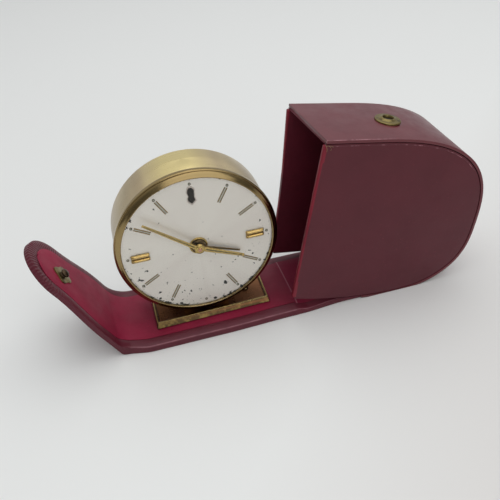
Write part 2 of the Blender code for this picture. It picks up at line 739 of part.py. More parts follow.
def flap_loop(margin):
    """The tongue-shaped outline of the flap, drawn in by a margin; it starts beside the crease."""
    start = FLAP_AXIS_Z + CLEARANCE
    tip_middle = FLAP_LENGTH - FLAP_TIP_RADIUS
    radius = FLAP_TIP_RADIUS - margin
    wide = STRIP_HALF - margin
    side = [(start, wide), (FLAP_STRAIGHT, wide)]
    for n in range(1, ARC_STEPS):
        share = n / ARC_STEPS
        ease = share * share * (3 - 2 * share)
        side.append((FLAP_STRAIGHT + (tip_middle - FLAP_STRAIGHT) * share, wide + (radius - wide) * ease))
    tip = [
        polar(radius, math.pi / 2 - math.pi * n / (2 * ARC_STEPS), (tip_middle, 0.0))
        for n in range(2 * ARC_STEPS + 1)
    ]
    return side + tip + [(x, -y) for x, y in reversed(side)]


def make_flap():
    """The closing flap with its lining and the press stud's male half."""
    pivot = empty("flap_pivot", (FLAP_CREASE_X, 0.0, FLAP_AXIS_Z), (0.0, -FLAP_ANGLE, math.pi))
    outer_top = FLAP_AXIS_Z - FLAP_LINING_THICKNESS - CLEARANCE
    stud_x = STUD_DISTANCE
    hole = rod_mesh("stud_hole", STUD_NECK + CLEARANCE, -FLAP_THICKNESS, FLAP_THICKNESS)
    hole.transform(Matrix.Translation((stud_x, -SNAP_SIDE, 0.0)))
    panel = outline_mesh("flap_panel", [flap_loop(0.0)], -FLAP_AXIS_Z, outer_top)
    lining = outline_mesh("flap_lining", [flap_loop(FLAP_LINING_MARGIN)], outer_top + CLEARANCE, FLAP_AXIS_Z)
    finish(link("flap_panel", cut(panel, hole), parent=pivot), "burgundy_leather")
    finish(link("flap_lining", cut(lining, hole.copy()), parent=pivot), "crimson_lining")
    stud = link("snap_stud", stud_mesh(), parent=pivot, location=(stud_x, -SNAP_SIDE, FLAP_AXIS_Z))
    finish(stud, "aged_brass")
    cap = link("snap_stud_cap", stud_cap_mesh(), parent=pivot, location=(stud_x, -SNAP_SIDE, -FLAP_AXIS_Z))
    finish(cap, "aged_brass")


def stud_mesh():
    """A four-lobed flange with a neck and a ball."""
    lobes = []
    for n in range(4 * ARC_STEPS):
        angle = 2 * math.pi * n / (4 * ARC_STEPS)
        lobes.append(polar(STUD_FLANGE * (1.0 + STUD_LOBE_SHARE * math.cos(4 * angle)), angle))
    flange_top = CLEARANCE + STUD_FLANGE_THICKNESS
    flange = outline_mesh("snap_stud", [lobes], CLEARANCE, flange_top)
    middle = flange_top + STUD_BALL
    foot = -FLAP_THICKNESS / 2
    ball = [(STUD_BALL * math.sin(a), middle + STUD_BALL * math.cos(a)) for a in ball_angles()]
    profile = [(0.0, middle + STUD_BALL), *ball, (STUD_NECK, flange_top), (STUD_NECK, foot), (0.0, foot)]
    return united(flange, turned_mesh("stud_post", profile, SMALL_STEPS, closed=False))


def ball_angles():
    """Angles from the top of the stud's ball down to where its neck starts."""
    last = math.pi - math.asin(STUD_NECK / STUD_BALL)
    return [last * n / ARC_STEPS for n in range(1, ARC_STEPS + 1)]


def stud_cap_mesh():
    """The low domed cap that covers the stud's rivet on the outside of the flap."""
    rim = -CLEARANCE
    top = rim - STUD_CAP_HEIGHT
    shoulder = (rim + top) / 2
    profile = [
        (0.0, rim),
        (STUD_CAP_RADIUS, rim),
        (STUD_CAP_RADIUS, shoulder),
        (STUD_CAP_RADIUS * CAP_SHOULDER_SHARE, top),
        (0.0, top),
    ]
    return turned_mesh("snap_stud_cap", profile, 2 * SMALL_STEPS, closed=False)


STUD_LOBE_SHARE = 0.12
CAP_SHOULDER_SHARE = 0.7


def make_hood():
    """The hood: front and back boards, the leather band, its lining and the press stud's socket."""
    place = hood_pivot_place()
    pivot = empty("hood_pivot", (place.x, 0.0, place.y))
    offset = (HOOD_MOUTH_X - place.x, 0.0, HOOD_MOUTH_Z - place.y)
    body = empty("hood_frame", offset, (0.0, HOOD_REST_TILT, 0.0), pivot)
    board = [tuple(point) for point in hood_side(0.0, 0.0, 0.0)]
    middle = STRIP_HALF - HOOD_BOARD / 2
    for name, side in (("hood_front_panel", -1.0), ("hood_back_panel", 1.0)):
        mesh = outline_mesh(name, [board], -HOOD_BOARD / 2, HOOD_BOARD / 2)
        panel = link(name, mesh, parent=body, location=(0.0, side * middle, 0.0), rotation=UPRIGHT)
        finish(panel, "burgundy_leather")
    make_bands(body)
    make_socket(body)


def make_bands(body):
    """The outer leather band and the lining band, each in a part near the mouth and a part round the end."""
    skin_in = HOOD_SEAM
    skin_out = HOOD_SEAM + HOOD_LEATHER
    card_out = -HOOD_SEAM
    card_in = -HOOD_SEAM - HOOD_BAND_LINING
    inside = STRIP_HALF - HOOD_BOARD - CLEARANCE
    split = BAND_SPLIT_DEPTH
    edge = LINING_SET_BACK
    runs = [
        ("hood_band", skin_out, skin_in, BAND_START_DEPTH, STRIP_HALF, "burgundy_leather"),
        ("hood_inner_band", card_out, card_in, edge, inside, "crimson_lining"),
    ]
    for name, outer, inner, low, half, kind in runs:
        loop = strip_loop(hood_side(outer, low, split), hood_side(inner, low, split))
        mesh = outline_mesh(name, [loop], -half, half)
        finish(link(name, mesh, parent=body, rotation=UPRIGHT), kind)
    near = [
        ("hood_band_mouth", skin_out, skin_in, 0.0, STRIP_HALF, "burgundy_leather"),
        ("hood_inner_band_mouth", card_out, card_in, edge, inside, "crimson_lining"),
    ]
    spot, slope = surface_at_snap()
    for name, outer, inner, end, half, kind in near:
        start = split - CLEARANCE
        loop = strip_loop(upper_run(outer, start, end), upper_run(inner, start, end))
        mesh = outline_mesh(name, [loop], -half, half)
        reach = SOCKET_BORE + SOCKET_TUBE_WALL + CLEARANCE
        hole = rod_mesh("socket_hole", reach, -HOOD_HEIGHT / 4, HOOD_HEIGHT / 4, 2 * SMALL_STEPS)
        turn = Matrix.Rotation(math.radians(-90), 4, "X") @ Matrix.Rotation(slope, 4, "Y")
        hole.transform(Matrix.Translation((spot.x, spot.y, -SNAP_SIDE)) @ turn)
        finish(link(name, cut(mesh, hole), parent=body, rotation=UPRIGHT), kind)


def make_socket(body):
    """The socket that the stud's ball snaps into, and the eyelet that holds it from inside."""
    spot, slope = surface_at_snap()
    tube = SOCKET_BORE + SOCKET_TUBE_WALL
    depth = HOOD_LEATHER + 2 * HOOD_SEAM + HOOD_BAND_LINING
    crown = (SOCKET_BORE + SOCKET_RADIUS) / 2
    shoulder = (CLEARANCE + SOCKET_HEIGHT) / 2
    lip = SOCKET_HEIGHT - SOCKET_TUBE_WALL
    profile = [
        (SOCKET_BORE, lip),
        (crown, SOCKET_HEIGHT),
        (SOCKET_RADIUS, shoulder),
        (SOCKET_RADIUS, CLEARANCE),
        (tube, CLEARANCE),
        (tube, -depth),
        (SOCKET_BORE, -depth),
    ]
    location = (spot.x, SNAP_SIDE, spot.y)
    rotation = (0.0, slope, 0.0)
    mesh = turned_mesh("snap_socket", profile, 2 * SMALL_STEPS)
    finish(link("snap_socket", mesh, parent=body, location=location, rotation=rotation), "aged_brass")
    top = -depth - CLEARANCE
    mesh = ring_mesh("socket_eyelet", EYELET_RADIUS, SOCKET_BORE, top - EYELET_THICKNESS, top, 2 * SMALL_STEPS)
    finish(link("socket_eyelet", mesh, parent=body, location=location, rotation=rotation), "aged_brass")


def make_cradle():
    """The low brass tray that the clock stands in, with a saddle under the case, and its rivets."""
    floor = CRADLE_BOTTOM + CRADLE_FLOOR
    rim = CRADLE_BOTTOM + CRADLE_RIM_HEIGHT
    low = (CRADLE_LEFT, -CRADLE_HALF_DEPTH, CRADLE_BOTTOM)
    high = (CRADLE_RIGHT, CRADLE_HALF_DEPTH, rim)
    tray = box_mesh("cradle", low, high)
    pocket_low = (CRADLE_LEFT + CRADLE_RIM_WIDTH, -CRADLE_HALF_DEPTH + CRADLE_RIM_WIDTH, floor)
    pocket_high = (CRADLE_RIGHT - CRADLE_RIM_WIDTH, CRADLE_HALF_DEPTH - CRADLE_RIM_WIDTH, rim + OVERRUN)
    tray = cut(tray, box_mesh("cradle_pocket", pocket_low, pocket_high))
    bead = rod_mesh("cradle_bead", CRADLE_BEAD_RADIUS, CRADLE_LEFT, CRADLE_RIGHT)
    bead.transform(Matrix.Rotation(math.radians(90), 4, "Y"))
    bead_y = -CRADLE_HALF_DEPTH + CRADLE_BEAD_RADIUS * math.cos(math.radians(45))
    bead.transform(Matrix.Translation((0.0, bead_y, rim - CRADLE_BEAD_RADIUS / 2)))
    saddle_low = (-SADDLE_HALF_WIDTH, -SADDLE_FRONT, floor - CRADLE_FLOOR / 2)
    saddle_high = (SADDLE_HALF_WIDTH, SADDLE_BACK, floor + SADDLE_HEIGHT)
    tray = united(tray, bead, box_mesh("saddle", saddle_low, saddle_high))
    seat = rod_mesh("saddle_seat", CASE_RADIUS + CLEARANCE, -CRADLE_HALF_DEPTH, CRADLE_HALF_DEPTH, ROUND_STEPS)
    seat.transform(Matrix.Translation((0.0, 0.0, CLOCK_HEIGHT)) @ Matrix.Rotation(math.radians(90), 4, "X"))
    holes = [rivet_hole(x, floor + OVERRUN) for x in rivet_places()]
    finish(link("cradle", cut(tray, seat, *holes)), "polished_brass")
    for name, x in zip(("cradle_rivet_left", "cradle_rivet_right"), rivet_places()):
        head = floor + CLEARANCE
        profile = [
            (0.0, head + RIVET_HEAD_HEIGHT),
            (RIVET_HEAD * CAP_SHOULDER_SHARE, head + RIVET_HEAD_HEIGHT),
            (RIVET_HEAD, head),
            (RIVET_SHANK, head),
            (RIVET_SHANK, RIVET_DEPTH),
            (0.0, RIVET_DEPTH),
        ]
        rivet = link(name, turned_mesh(name, profile, SMALL_STEPS, closed=False), location=(x, 0.0, 0.0))
        finish(rivet, "aged_brass")


CLOCK = empty("clock_frame", (0.0, 0.0, CLOCK_HEIGHT), UPRIGHT)


def clock_piece(name, mesh, kind, place=(0.0, 0.0), turn=0.0):
    """Put a piece in the clock, with its origin on its own axis."""
    location = (place[0], place[1], 0.0)
    return finish(link(name, mesh, parent=CLOCK, location=location, rotation=(0.0, 0.0, turn)), kind)


def make_case():
    """The drum, the bezel, the crystal, the dial and the back cover."""
    drum = [
        (CASE_BORE, CASE_FRONT),
        (CASE_RADIUS, CASE_FRONT),
        (CASE_RADIUS, CASE_BACK + CASE_FLANGE / 2),
        (CASE_RADIUS - CASE_FLANGE / 2, CASE_BACK),
        (CASE_BORE - CASE_FLANGE, CASE_BACK),
        (CASE_BORE - CASE_FLANGE, CASE_BACK + CASE_FLANGE),
        (CASE_BORE, CASE_BACK + CASE_FLANGE),
    ]
    clock_piece("drum_case", turned_mesh("drum_case", drum), "satin_brass")
    under_lip = DIAL_FRONT + CLEARANCE
    lip_top = under_lip + BEZEL_LIP_DEPTH
    crest = under_lip + BEZEL_RISE
    skirt_out = CASE_BORE - CLEARANCE
    skirt_in = skirt_out - BEZEL_SKIRT
    foot = CASE_FRONT + CLEARANCE
    wide = BEZEL_RADIUS - BEZEL_LIP
    bezel = [
        (BEZEL_LIP, lip_top),
        (BEZEL_LIP + wide * BEZEL_CREST_INNER, crest),
        (BEZEL_LIP + wide * BEZEL_CREST_OUTER, crest),
        (BEZEL_LIP + wide * BEZEL_SHOULDER, crest - BEZEL_RISE * BEZEL_SHOULDER_FALL),
        (BEZEL_RADIUS, crest - BEZEL_RISE * BEZEL_SIDE_FALL),
        (BEZEL_RADIUS, foot + BEZEL_RISE * BEZEL_FOOT_CHAMFER),
        (BEZEL_RADIUS - wide * BEZEL_FOOT_WIDTH, foot),
        (skirt_out, foot),
        (skirt_out, BEZEL_SKIRT_END),
        (skirt_in, BEZEL_SKIRT_END),
        (skirt_in, under_lip),
        (BEZEL_LIP, under_lip),
    ]
    clock_piece("bezel", turned_mesh("bezel", bezel), "polished_brass")
    clock_piece("crystal", crystal_mesh(under_lip), "clear_crystal")
    dial = outline_mesh(
        "dial", [circle(DIAL_RADIUS, ROUND_STEPS), circle(DIAL_HOLE, PIPE_STEPS)],
        DIAL_FRONT - DIAL_THICKNESS, DIAL_FRONT,
    )
    clock_piece("dial", dial, "silvered_dial")
    for name, side in (("hour_marker_3", 1.0), ("hour_marker_9", -1.0)):
        low = (MARKER_INNER, -MARKER_WIDTH / 2, DIAL_FRONT + CLEARANCE)
        high = (MARKER_OUTER, MARKER_WIDTH / 2, DIAL_FRONT + CLEARANCE + MARKER_HEIGHT)
        turn = 0.0 if side > 0 else math.pi
        marker = clock_piece(name, box_mesh(name, low, high), "gilt_hands", turn=turn)
        bevel(marker, MARKER_HEIGHT / 4, 1)
    make_cover()


def crystal_mesh(bottom):
    """A clear dome with a short upright rim."""
    radius = BEZEL_LIP - CLEARANCE
    rim_top = bottom + CRYSTAL_RIM
    inner = radius - CRYSTAL_WALL

    def dome(edge, rise, start):
        """Points of a flat dome with a steep shoulder, from its middle to its edge."""
        points = []
        for n in range(CRYSTAL_RINGS + 1):
            turn = math.pi / 2 * n / CRYSTAL_RINGS
            reach = edge * math.sin(turn) ** (2 / CRYSTAL_EDGE_POWER)
            points.append((reach, start + rise * max(math.cos(turn), 0.0) ** (2 / CRYSTAL_CROWN_POWER)))
        points[-1] = (edge, start)
        return points

    outside = dome(radius, CRYSTAL_RISE, rim_top)
    inside = dome(inner, CRYSTAL_RISE, rim_top - CRYSTAL_WALL)
    profile = outside + [(radius, bottom), (inner, bottom)] + inside[::-1]
    return turned_mesh("crystal", profile, closed=False)


def make_cover():
    """The back cover with a hole for every key, knob and lever."""
    loops = [
        circle(CASE_BORE - CLEARANCE, ROUND_STEPS),
        circle(KEY_ARBOR + CLEARANCE, SMALL_STEPS, BARREL),
        circle(KEY_ARBOR + CLEARANCE, SMALL_STEPS, ALARM_BARREL),
        circle(ARBOR + CLEARANCE, SMALL_STEPS, CENTRE),
        circle(ARBOR + CLEARANCE, SMALL_STEPS, ALARM_SET),
        circle(BUTTON_RADIUS + CLEARANCE, SMALL_STEPS, BUTTON),
    ]
    half = REGULATOR_SLOT / 2
    tall = REGULATOR_PIN + 2 * CLEARANCE
    slot = (BALANCE[0], BALANCE[1] + REGULATOR_LENGTH)
    loops.append(
        [
            (slot[0] - half, slot[1] - tall),
            (slot[0] + half, slot[1] - tall),
            (slot[0] + half, slot[1] + tall),
            (slot[0] - half, slot[1] + tall),
        ]
    )
    clock_piece("back_cover", outline_mesh("back_cover", loops, COVER_BACK, COVER_FRONT), "satin_brass")


def make_plates():
    """The movement's two plates with their pivot holes, and the pillars between them."""
    set_hole = circle(ARBOR + CLEARANCE, SMALL_STEPS, ALARM_SET)
    centre_hole = circle(ARBOR + CLEARANCE, SMALL_STEPS)
    front = [circle(FRONT_PLATE_RADIUS, ROUND_STEPS), centre_hole, set_hole]
    low = FRONT_PLATE_TOP - PLATE_THICKNESS
    plate = outline_mesh("front_plate", front, low, FRONT_PLATE_TOP)
    clock_piece("front_plate", plate, "movement_brass")
    back = [
        circle(BACK_PLATE_RADIUS, ROUND_STEPS),
        centre_hole,
        set_hole,
        circle(KEY_ARBOR + CLEARANCE, SMALL_STEPS, BARREL),
        circle(KEY_ARBOR + CLEARANCE, SMALL_STEPS, ALARM_BARREL),
    ]
    plate = outline_mesh("back_plate", back, BACK_PLATE_BOTTOM, BACK_PLATE_TOP)
    clock_piece("back_plate", plate, "movement_brass")
    for n, angle in enumerate(PILLAR_ANGLES, 1):
        name = "pillar_%d" % n
        pillar = rod_mesh(name, PILLAR_RADIUS, SPACE_BACK, SPACE_FRONT)
        clock_piece(name, pillar, "movement_brass", polar(PILLAR_CIRCLE, angle))


def piped(wheel, low, top, bore, wall):
    """A thin wheel with a pipe that carries a hand."""
    pipe = rod_mesh(wheel.name + "_pipe", bore + wall, low + LEVEL_THICKNESS / 2, top, PIPE_STEPS)
    hole = rod_mesh(wheel.name + "_bore", bore, low - OVERRUN, top + OVERRUN, PIPE_STEPS)
    return cut(united(wheel, pipe), hole)


def make_motion_work():
    """The thin wheels under the dial that turn the hour hand once for twelve turns of the minute hand."""
    tops = [level + LEVEL_THICKNESS for level in LEVELS]
    cannon_top = DIAL_FRONT + MINUTE_HAND_GAP - CLEARANCE
    arbor_top = DIAL_FRONT + MINUTE_HAND_GAP + HAND_THICKNESS + CLEARANCE
    arbor = rod_mesh("centre_arbor", ARBOR, KNOB_FRONT - KNOB_HEIGHT, arbor_top)
    inside = LEVELS[0] + LEVEL_THICKNESS / 2
    tube = rod_mesh("cannon_tube", CANNON_TUBE, inside, cannon_top, PIPE_STEPS)
    leaves = outline_mesh("cannon", [pinion_loop(CANNON_TEETH, MOTION_MODULE)], LEVELS[0], tops[0])
    turn = MINUTE_WHEEL_ANGLE
    clock_piece("centre_arbor", united(arbor, tube, leaves), "steel", turn=turn)
    loop = wheel_loop(MINUTE_WHEEL_TEETH, MOTION_MODULE, facing(MINUTE_WHEEL_TEETH, turn))
    wheel = outline_mesh("minute_wheel", [loop], LEVELS[0], tops[0])
    leaves = pinion_loop(MINUTE_PINION_TEETH, MOTION_PINION_MODULE, turn + math.pi)
    pinion = outline_mesh("minute_pinion", [leaves], LEVELS[1], tops[1])
    core = MOTION_PINION_MODULE * MINUTE_PINION_TEETH / 4
    post = rod_mesh("minute_post", core, inside, tops[1] - LEVEL_THICKNESS / 2)
    clock_piece("minute_wheel", united(wheel, pinion, post), "movement_brass", MINUTE_WHEEL)
    loop = wheel_loop(HOUR_WHEEL_TEETH, MOTION_PINION_MODULE, turn + math.pi / HOUR_WHEEL_TEETH)
    wheel = outline_mesh("hour_wheel", [loop], LEVELS[1], tops[1])
    pipe_top = DIAL_FRONT + HOUR_HAND_GAP - CLEARANCE
    mesh = piped(wheel, LEVELS[1], pipe_top, HOUR_PIPE_BORE, HOUR_PIPE_WALL)
    clock_piece("hour_wheel", mesh, "movement_brass")
    make_alarm_setting(tops)


def make_alarm_setting(tops):
    """The wheel whose pipe carries the alarm hand, and the arbor that sets it from the back."""
    loop = wheel_loop(ALARM_SET_TEETH, ALARM_SET_MODULE, ALARM_SET_ANGLE)
    wheel = outline_mesh("alarm_set_wheel", [loop], LEVELS[2], tops[2])
    pipe_top = DIAL_FRONT + ALARM_HAND_GAP - CLEARANCE
    mesh = piped(wheel, LEVELS[2], pipe_top, ALARM_PIPE_BORE, ALARM_PIPE_WALL)
    clock_piece("alarm_set_wheel", mesh, "movement_brass")
    phase = facing(ALARM_SET_PINION_TEETH, ALARM_SET_ANGLE)
    leaves = pinion_loop(ALARM_SET_PINION_TEETH, ALARM_SET_MODULE, phase)
    pinion = outline_mesh("alarm_set_arbor", [leaves], LEVELS[2], tops[2])
    rod = rod_mesh("alarm_set_rod", ARBOR, KNOB_FRONT - KNOB_HEIGHT, LEVELS[2] + LEVEL_THICKNESS / 2)
    clock_piece("alarm_set_arbor", united(pinion, rod), "steel", ALARM_SET)


def hand_loop(length, width, boss):
    """A slender hand along +Y that narrows to a square end, with a round boss."""
    neck = math.sqrt(boss * boss - width * width / 4)
    tip = width / 2 * HAND_TAPER_SHARE
    start = math.atan2(neck, -width / 2)
    end = math.atan2(neck, width / 2) + 2 * math.pi
    arc = [polar(boss, start + (end - start) * n / ARC_STEPS) for n in range(1, ARC_STEPS)]
    return [(width / 2, neck), (tip, length), (-tip, length), (-width / 2, neck)] + arc


def make_hands():
    """The minute, hour and alarm hands and the small cap on the arbor."""
    hands = [
        ("minute_hand", MINUTE_HAND_LENGTH, MINUTE_HAND_WIDTH, MINUTE_BOSS, ARBOR + CLEARANCE,
         MINUTE_HAND_GAP, MINUTE_HAND_ANGLE),
        ("hour_hand", HOUR_HAND_LENGTH, HOUR_HAND_WIDTH, HOUR_BOSS, HOUR_PIPE_BORE,
         HOUR_HAND_GAP, HOUR_HAND_ANGLE),
        ("alarm_hand", ALARM_HAND_LENGTH, ALARM_HAND_WIDTH, ALARM_BOSS, ALARM_PIPE_BORE,
         ALARM_HAND_GAP, ALARM_HAND_ANGLE),
    ]
    for name, length, width, boss, bore, gap, angle in hands:
        low = DIAL_FRONT + gap
        loops = [hand_loop(length, width, boss), circle(bore, SMALL_STEPS)]
        clock_piece(name, outline_mesh(name, loops, low, low + HAND_THICKNESS), "gilt_hands", turn=-angle)
    low = DIAL_FRONT + MINUTE_HAND_GAP + HAND_THICKNESS + 2 * CLEARANCE
    profile = [
        (0.0, low + CAP_HEIGHT),
        (CAP_RADIUS * CAP_SHOULDER_SHARE, low + CAP_HEIGHT * CAP_SHOULDER_SHARE),
        (CAP_RADIUS, low),
        (0.0, low),
    ]
    cap = turned_mesh("hand_cap", profile, 2 * SMALL_STEPS, closed=False)
    clock_piece("hand_cap", cap, "copper")


def wheel_and_pinion(name, wheel, wheel_top, pinion, pinion_top, bore=0.0):
    """An arbor with a toothed wheel and a pinion, joined to one solid."""
    disc = outline_mesh(name, [wheel], wheel_top - WHEEL_THICKNESS, wheel_top)
    leaves = outline_mesh(name + "_pinion", [pinion], pinion_top - PINION_THICKNESS, pinion_top)
    if bore:
        low = pinion_top - PINION_THICKNESS
        pipe = rod_mesh(name + "_pipe", bore + 2 * CLEARANCE, low + PINION_THICKNESS / 2, SPACE_FRONT)
        hole = rod_mesh(name + "_bore", bore + CLEARANCE, low - OVERRUN, SPACE_FRONT + OVERRUN)
        return cut(united(disc, leaves, pipe), hole)
    return united(disc, leaves, rod_mesh(name + "_arbor", ARBOR, SPACE_BACK, SPACE_FRONT))


def make_train():
    """The going train from the centre wheel to the balance."""
    centre_phase = THIRD_ANGLE
    wheel = wheel_loop(CENTRE_TEETH, CENTRE_MODULE, centre_phase)
    pinion = pinion_loop(CENTRE_PINION_TEETH, BARREL_MODULE, BARREL_ANGLE)
    level = BARREL_WHEEL_TOP + (PINION_THICKNESS - BARREL_FLANGE) / 2
    mesh = wheel_and_pinion("centre_wheel", wheel, CENTRE_WHEEL_TOP, pinion, level, ARBOR)
    clock_piece("centre_wheel", mesh, "movement_brass")

    lift = (PINION_THICKNESS - WHEEL_THICKNESS) / 2
    pinion = pinion_loop(THIRD_PINION_TEETH, CENTRE_MODULE, facing(THIRD_PINION_TEETH, THIRD_ANGLE))
    wheel = wheel_loop(THIRD_TEETH, THIRD_MODULE, FOURTH_ANGLE)
    third_pinion_top = min(CENTRE_WHEEL_TOP + lift, SPACE_FRONT)
    mesh = wheel_and_pinion("third_wheel", wheel, THIRD_WHEEL_TOP, pinion, third_pinion_top)
    clock_piece("third_wheel", mesh, "movement_brass", THIRD)

    pinion = pinion_loop(FOURTH_PINION_TEETH, THIRD_MODULE, facing(FOURTH_PINION_TEETH, FOURTH_ANGLE))
    wheel = wheel_loop(FOURTH_TEETH, FOURTH_MODULE, ESCAPE_ANGLE)
    mesh = wheel_and_pinion("fourth_wheel", wheel, FOURTH_WHEEL_TOP, pinion, THIRD_WHEEL_TOP + lift)
    clock_piece("fourth_wheel", mesh, "movement_brass", FOURTH)

    pinion = pinion_loop(ESCAPE_PINION_TEETH, FOURTH_MODULE, facing(ESCAPE_PINION_TEETH, ESCAPE_ANGLE))
    wheel = ratchet_loop(ESCAPE_TEETH, ESCAPE_RADIUS, ESCAPE_TOOTH)
    mesh = wheel_and_pinion("escape_wheel", wheel, ESCAPE_WHEEL_TOP, pinion, FOURTH_WHEEL_TOP + lift)
    clock_piece("escape_wheel", mesh, "movement_brass", ESCAPE)
    make_escapement()


def ratchet_loop(teeth, radius, depth):
    """Pointed, leaning teeth such as an escape wheel has."""
    loop = []
    for n in range(teeth):
        middle = 2 * math.pi * n / teeth
        pitch = 2 * math.pi / teeth
        loop.append(polar(radius - depth, middle - pitch * ESCAPE_HALF_RIM_SHARE / 2))
        loop.append(polar(radius, middle))
        loop.append(polar(radius - depth, middle + pitch * (1 - ESCAPE_HALF_RIM_SHARE) / 2))
    return loop


def make_escapement():
    """The pallet lever, the balance wheel and its hairspring."""
    low = ESCAPE_WHEEL_TOP - WHEEL_THICKNESS
    back = PALLET_ANGLE + math.pi
    anchor = [
        polar(PALLET_REACH, back + PALLET_SPREAD),
        polar(PALLET_WIDTH, back),
        polar(PALLET_REACH, back - PALLET_SPREAD),
        polar(PALLET_REACH - PALLET_WIDTH, back - PALLET_FLANK),
        polar(FORK_LENGTH, BALANCE_ANGLE + FORK_SPREAD),
        polar(FORK_LENGTH, BALANCE_ANGLE - FORK_SPREAD),
        polar(PALLET_REACH - PALLET_WIDTH, back + PALLET_FLANK),
    ]
    lever = outline_mesh("pallet_lever", [anchor], low, ESCAPE_WHEEL_TOP)
    rod = rod_mesh("pallet_arbor", ARBOR, SPACE_BACK, SPACE_FRONT)
    clock_piece("pallet_lever", united(lever, rod), "steel", PALLET)

    low = BALANCE_TOP - WHEEL_THICKNESS
    rim = ring_mesh("balance_wheel", BALANCE_RADIUS, BALANCE_RADIUS - BALANCE_RIM, low, BALANCE_TOP, 2 * SMALL_STEPS)
    reach = BALANCE_RADIUS - BALANCE_RIM / 2
    arm = box_mesh("balance_arm", (-reach, -BALANCE_ARM / 2, low), (reach, BALANCE_ARM / 2, BALANCE_TOP))
    staff = rod_mesh("balance_staff", ARBOR, SPACE_BACK, SPACE_FRONT)
    clock_piece("balance_wheel", united(rim, arm, staff), "movement_brass", BALANCE)
    spring = spiral_mesh(
        "hairspring", HAIRSPRING_INNER, HAIRSPRING_OUTER, HAIRSPRING_TURNS, HAIRSPRING_WIRE, HAIRSPRING_LEVEL
    )
    clock_piece("hairspring", spring, "steel", BALANCE)


def barrel_mesh(name, teeth, module, body, phase):
    """A spring barrel: a toothed flange on a cup that is open to the back."""
    top = BARREL_WHEEL_TOP
    flange = outline_mesh(
        name, [wheel_loop(teeth, module, phase), circle(BARREL_BORE)], top - BARREL_FLANGE, top
    )
    steps = 2 * SMALL_STEPS
    low = top - BARREL_FLANGE - BARREL_DEPTH
    wall = ring_mesh(name + "_wall", body, body - BARREL_WALL, low, top - BARREL_FLANGE / 2, steps)
    return united(flange, wall)


def make_barrels():
    """The time and alarm spring barrels, and the mainspring in the first."""
    phase = BARREL_ANGLE + math.pi + math.pi / BARREL_TEETH
    mesh = barrel_mesh("mainspring_barrel", BARREL_TEETH, BARREL_MODULE, BARREL_BODY_RADIUS, phase)
    clock_piece("mainspring_barrel", mesh, "movement_brass", BARREL)
    level = BARREL_WHEEL_TOP - BARREL_FLANGE - BARREL_DEPTH / 2
    spring = spiral_mesh(
        "mainspring", MAINSPRING_INNER, MAINSPRING_OUTER, MAINSPRING_TURNS, MAINSPRING_WIRE, level
    )
    clock_piece("mainspring", spring, "steel", BARREL)
    phase = ALARM_WHEEL_ANGLE
    mesh = barrel_mesh("alarm_barrel", ALARM_BARREL_TEETH, ALARM_BARREL_MODULE, ALARM_BARREL_BODY, phase)
    clock_piece("alarm_barrel", mesh, "movement_brass", ALARM_BARREL)


def make_alarm():
    """The wheel that the alarm spring drives, and the hammer beside it."""
    phase = facing(ALARM_PINION_TEETH, ALARM_WHEEL_ANGLE)
    pinion = pinion_loop(ALARM_PINION_TEETH, ALARM_BARREL_MODULE, phase)
    wheel = ratchet_loop(ALARM_WHEEL_TEETH, ALARM_WHEEL_RADIUS, ESCAPE_TOOTH)
    level = BARREL_WHEEL_TOP + (PINION_THICKNESS - BARREL_FLANGE) / 2
    mesh = wheel_and_pinion("alarm_wheel", wheel, CENTRE_WHEEL_TOP, pinion, level)
    clock_piece("alarm_wheel", mesh, "movement_brass", ALARM_WHEEL)
    low = CENTRE_WHEEL_TOP - WHEEL_THICKNESS
    half = HAMMER_ARM_WIDTH / 2
    fork = [
        (-HAMMER_PALLET, -HAMMER_PALLET),
        (half, -half),
        (HAMMER_ARM, -half),
        (HAMMER_ARM, half),
        (half, half),
        (-HAMMER_PALLET, HAMMER_PALLET),
        (-half, 0.0),
    ]
    arm = outline_mesh("alarm_hammer", [fork], low, CENTRE_WHEEL_TOP)
    arm.transform(Matrix.Rotation(HAMMER_ARM_ANGLE, 4, "Z"))
    spot = polar(HAMMER_ARM, HAMMER_ARM_ANGLE)
    head = rod_mesh("hammer_head", HAMMER_HEAD, low - HAMMER_HEAD, low + WHEEL_THICKNESS / 2)
    head.transform(Matrix.Translation((*spot, 0.0)))
    rod = rod_mesh("hammer_arbor", ARBOR, SPACE_BACK, SPACE_FRONT)
    clock_piece("alarm_hammer", united(arm, head, rod), "steel", HAMMER)


def knob_mesh(name, radius):
    """A fluted knob with a bore for its arbor."""
    loop = []
    for n in range(2 * KNOB_FLUTES):
        reach = radius if n % 2 == 0 else radius - KNOB_FLUTE_DEPTH
        loop.append(polar(reach, math.pi * n / KNOB_FLUTES))
    low = KNOB_FRONT - KNOB_HEIGHT
    return outline_mesh(name, [loop, circle(ARBOR + CLEARANCE)], low, KNOB_FRONT)


def key_mesh(name, span):
    """A winding key: its arbor through the barrel, a hub and two flat wings."""
    arbor = rod_mesh(name, KEY_ARBOR, KNOB_FRONT - KEY_HUB_HEIGHT / 2, SPACE_FRONT)
    hub = rod_mesh(name + "_hub", KEY_HUB_RADIUS, KNOB_FRONT - KEY_HUB_HEIGHT, KNOB_FRONT, 2 * SMALL_STEPS)
    top = KNOB_FRONT - KEY_HUB_HEIGHT / 2
    low = KNOB_FRONT - KEY_HUB_HEIGHT - KEY_WING_HEIGHT
    half = span / 2
    round_off = KEY_WING_HEIGHT / 3
    wing = [
        (-half, low + round_off),
        (-half + round_off, low),
        (half - round_off, low),
        (half, low + round_off),
        (half, top - round_off),
        (half - round_off, top),
        (-half + round_off, top),
        (-half, top - round_off),
    ]
    plate = outline_mesh(name + "_wing", [wing], -KEY_WING_THICKNESS / 2, KEY_WING_THICKNESS / 2)
    plate.transform(Matrix.Rotation(math.radians(90), 4, "X"))
    return united(arbor, hub, plate)


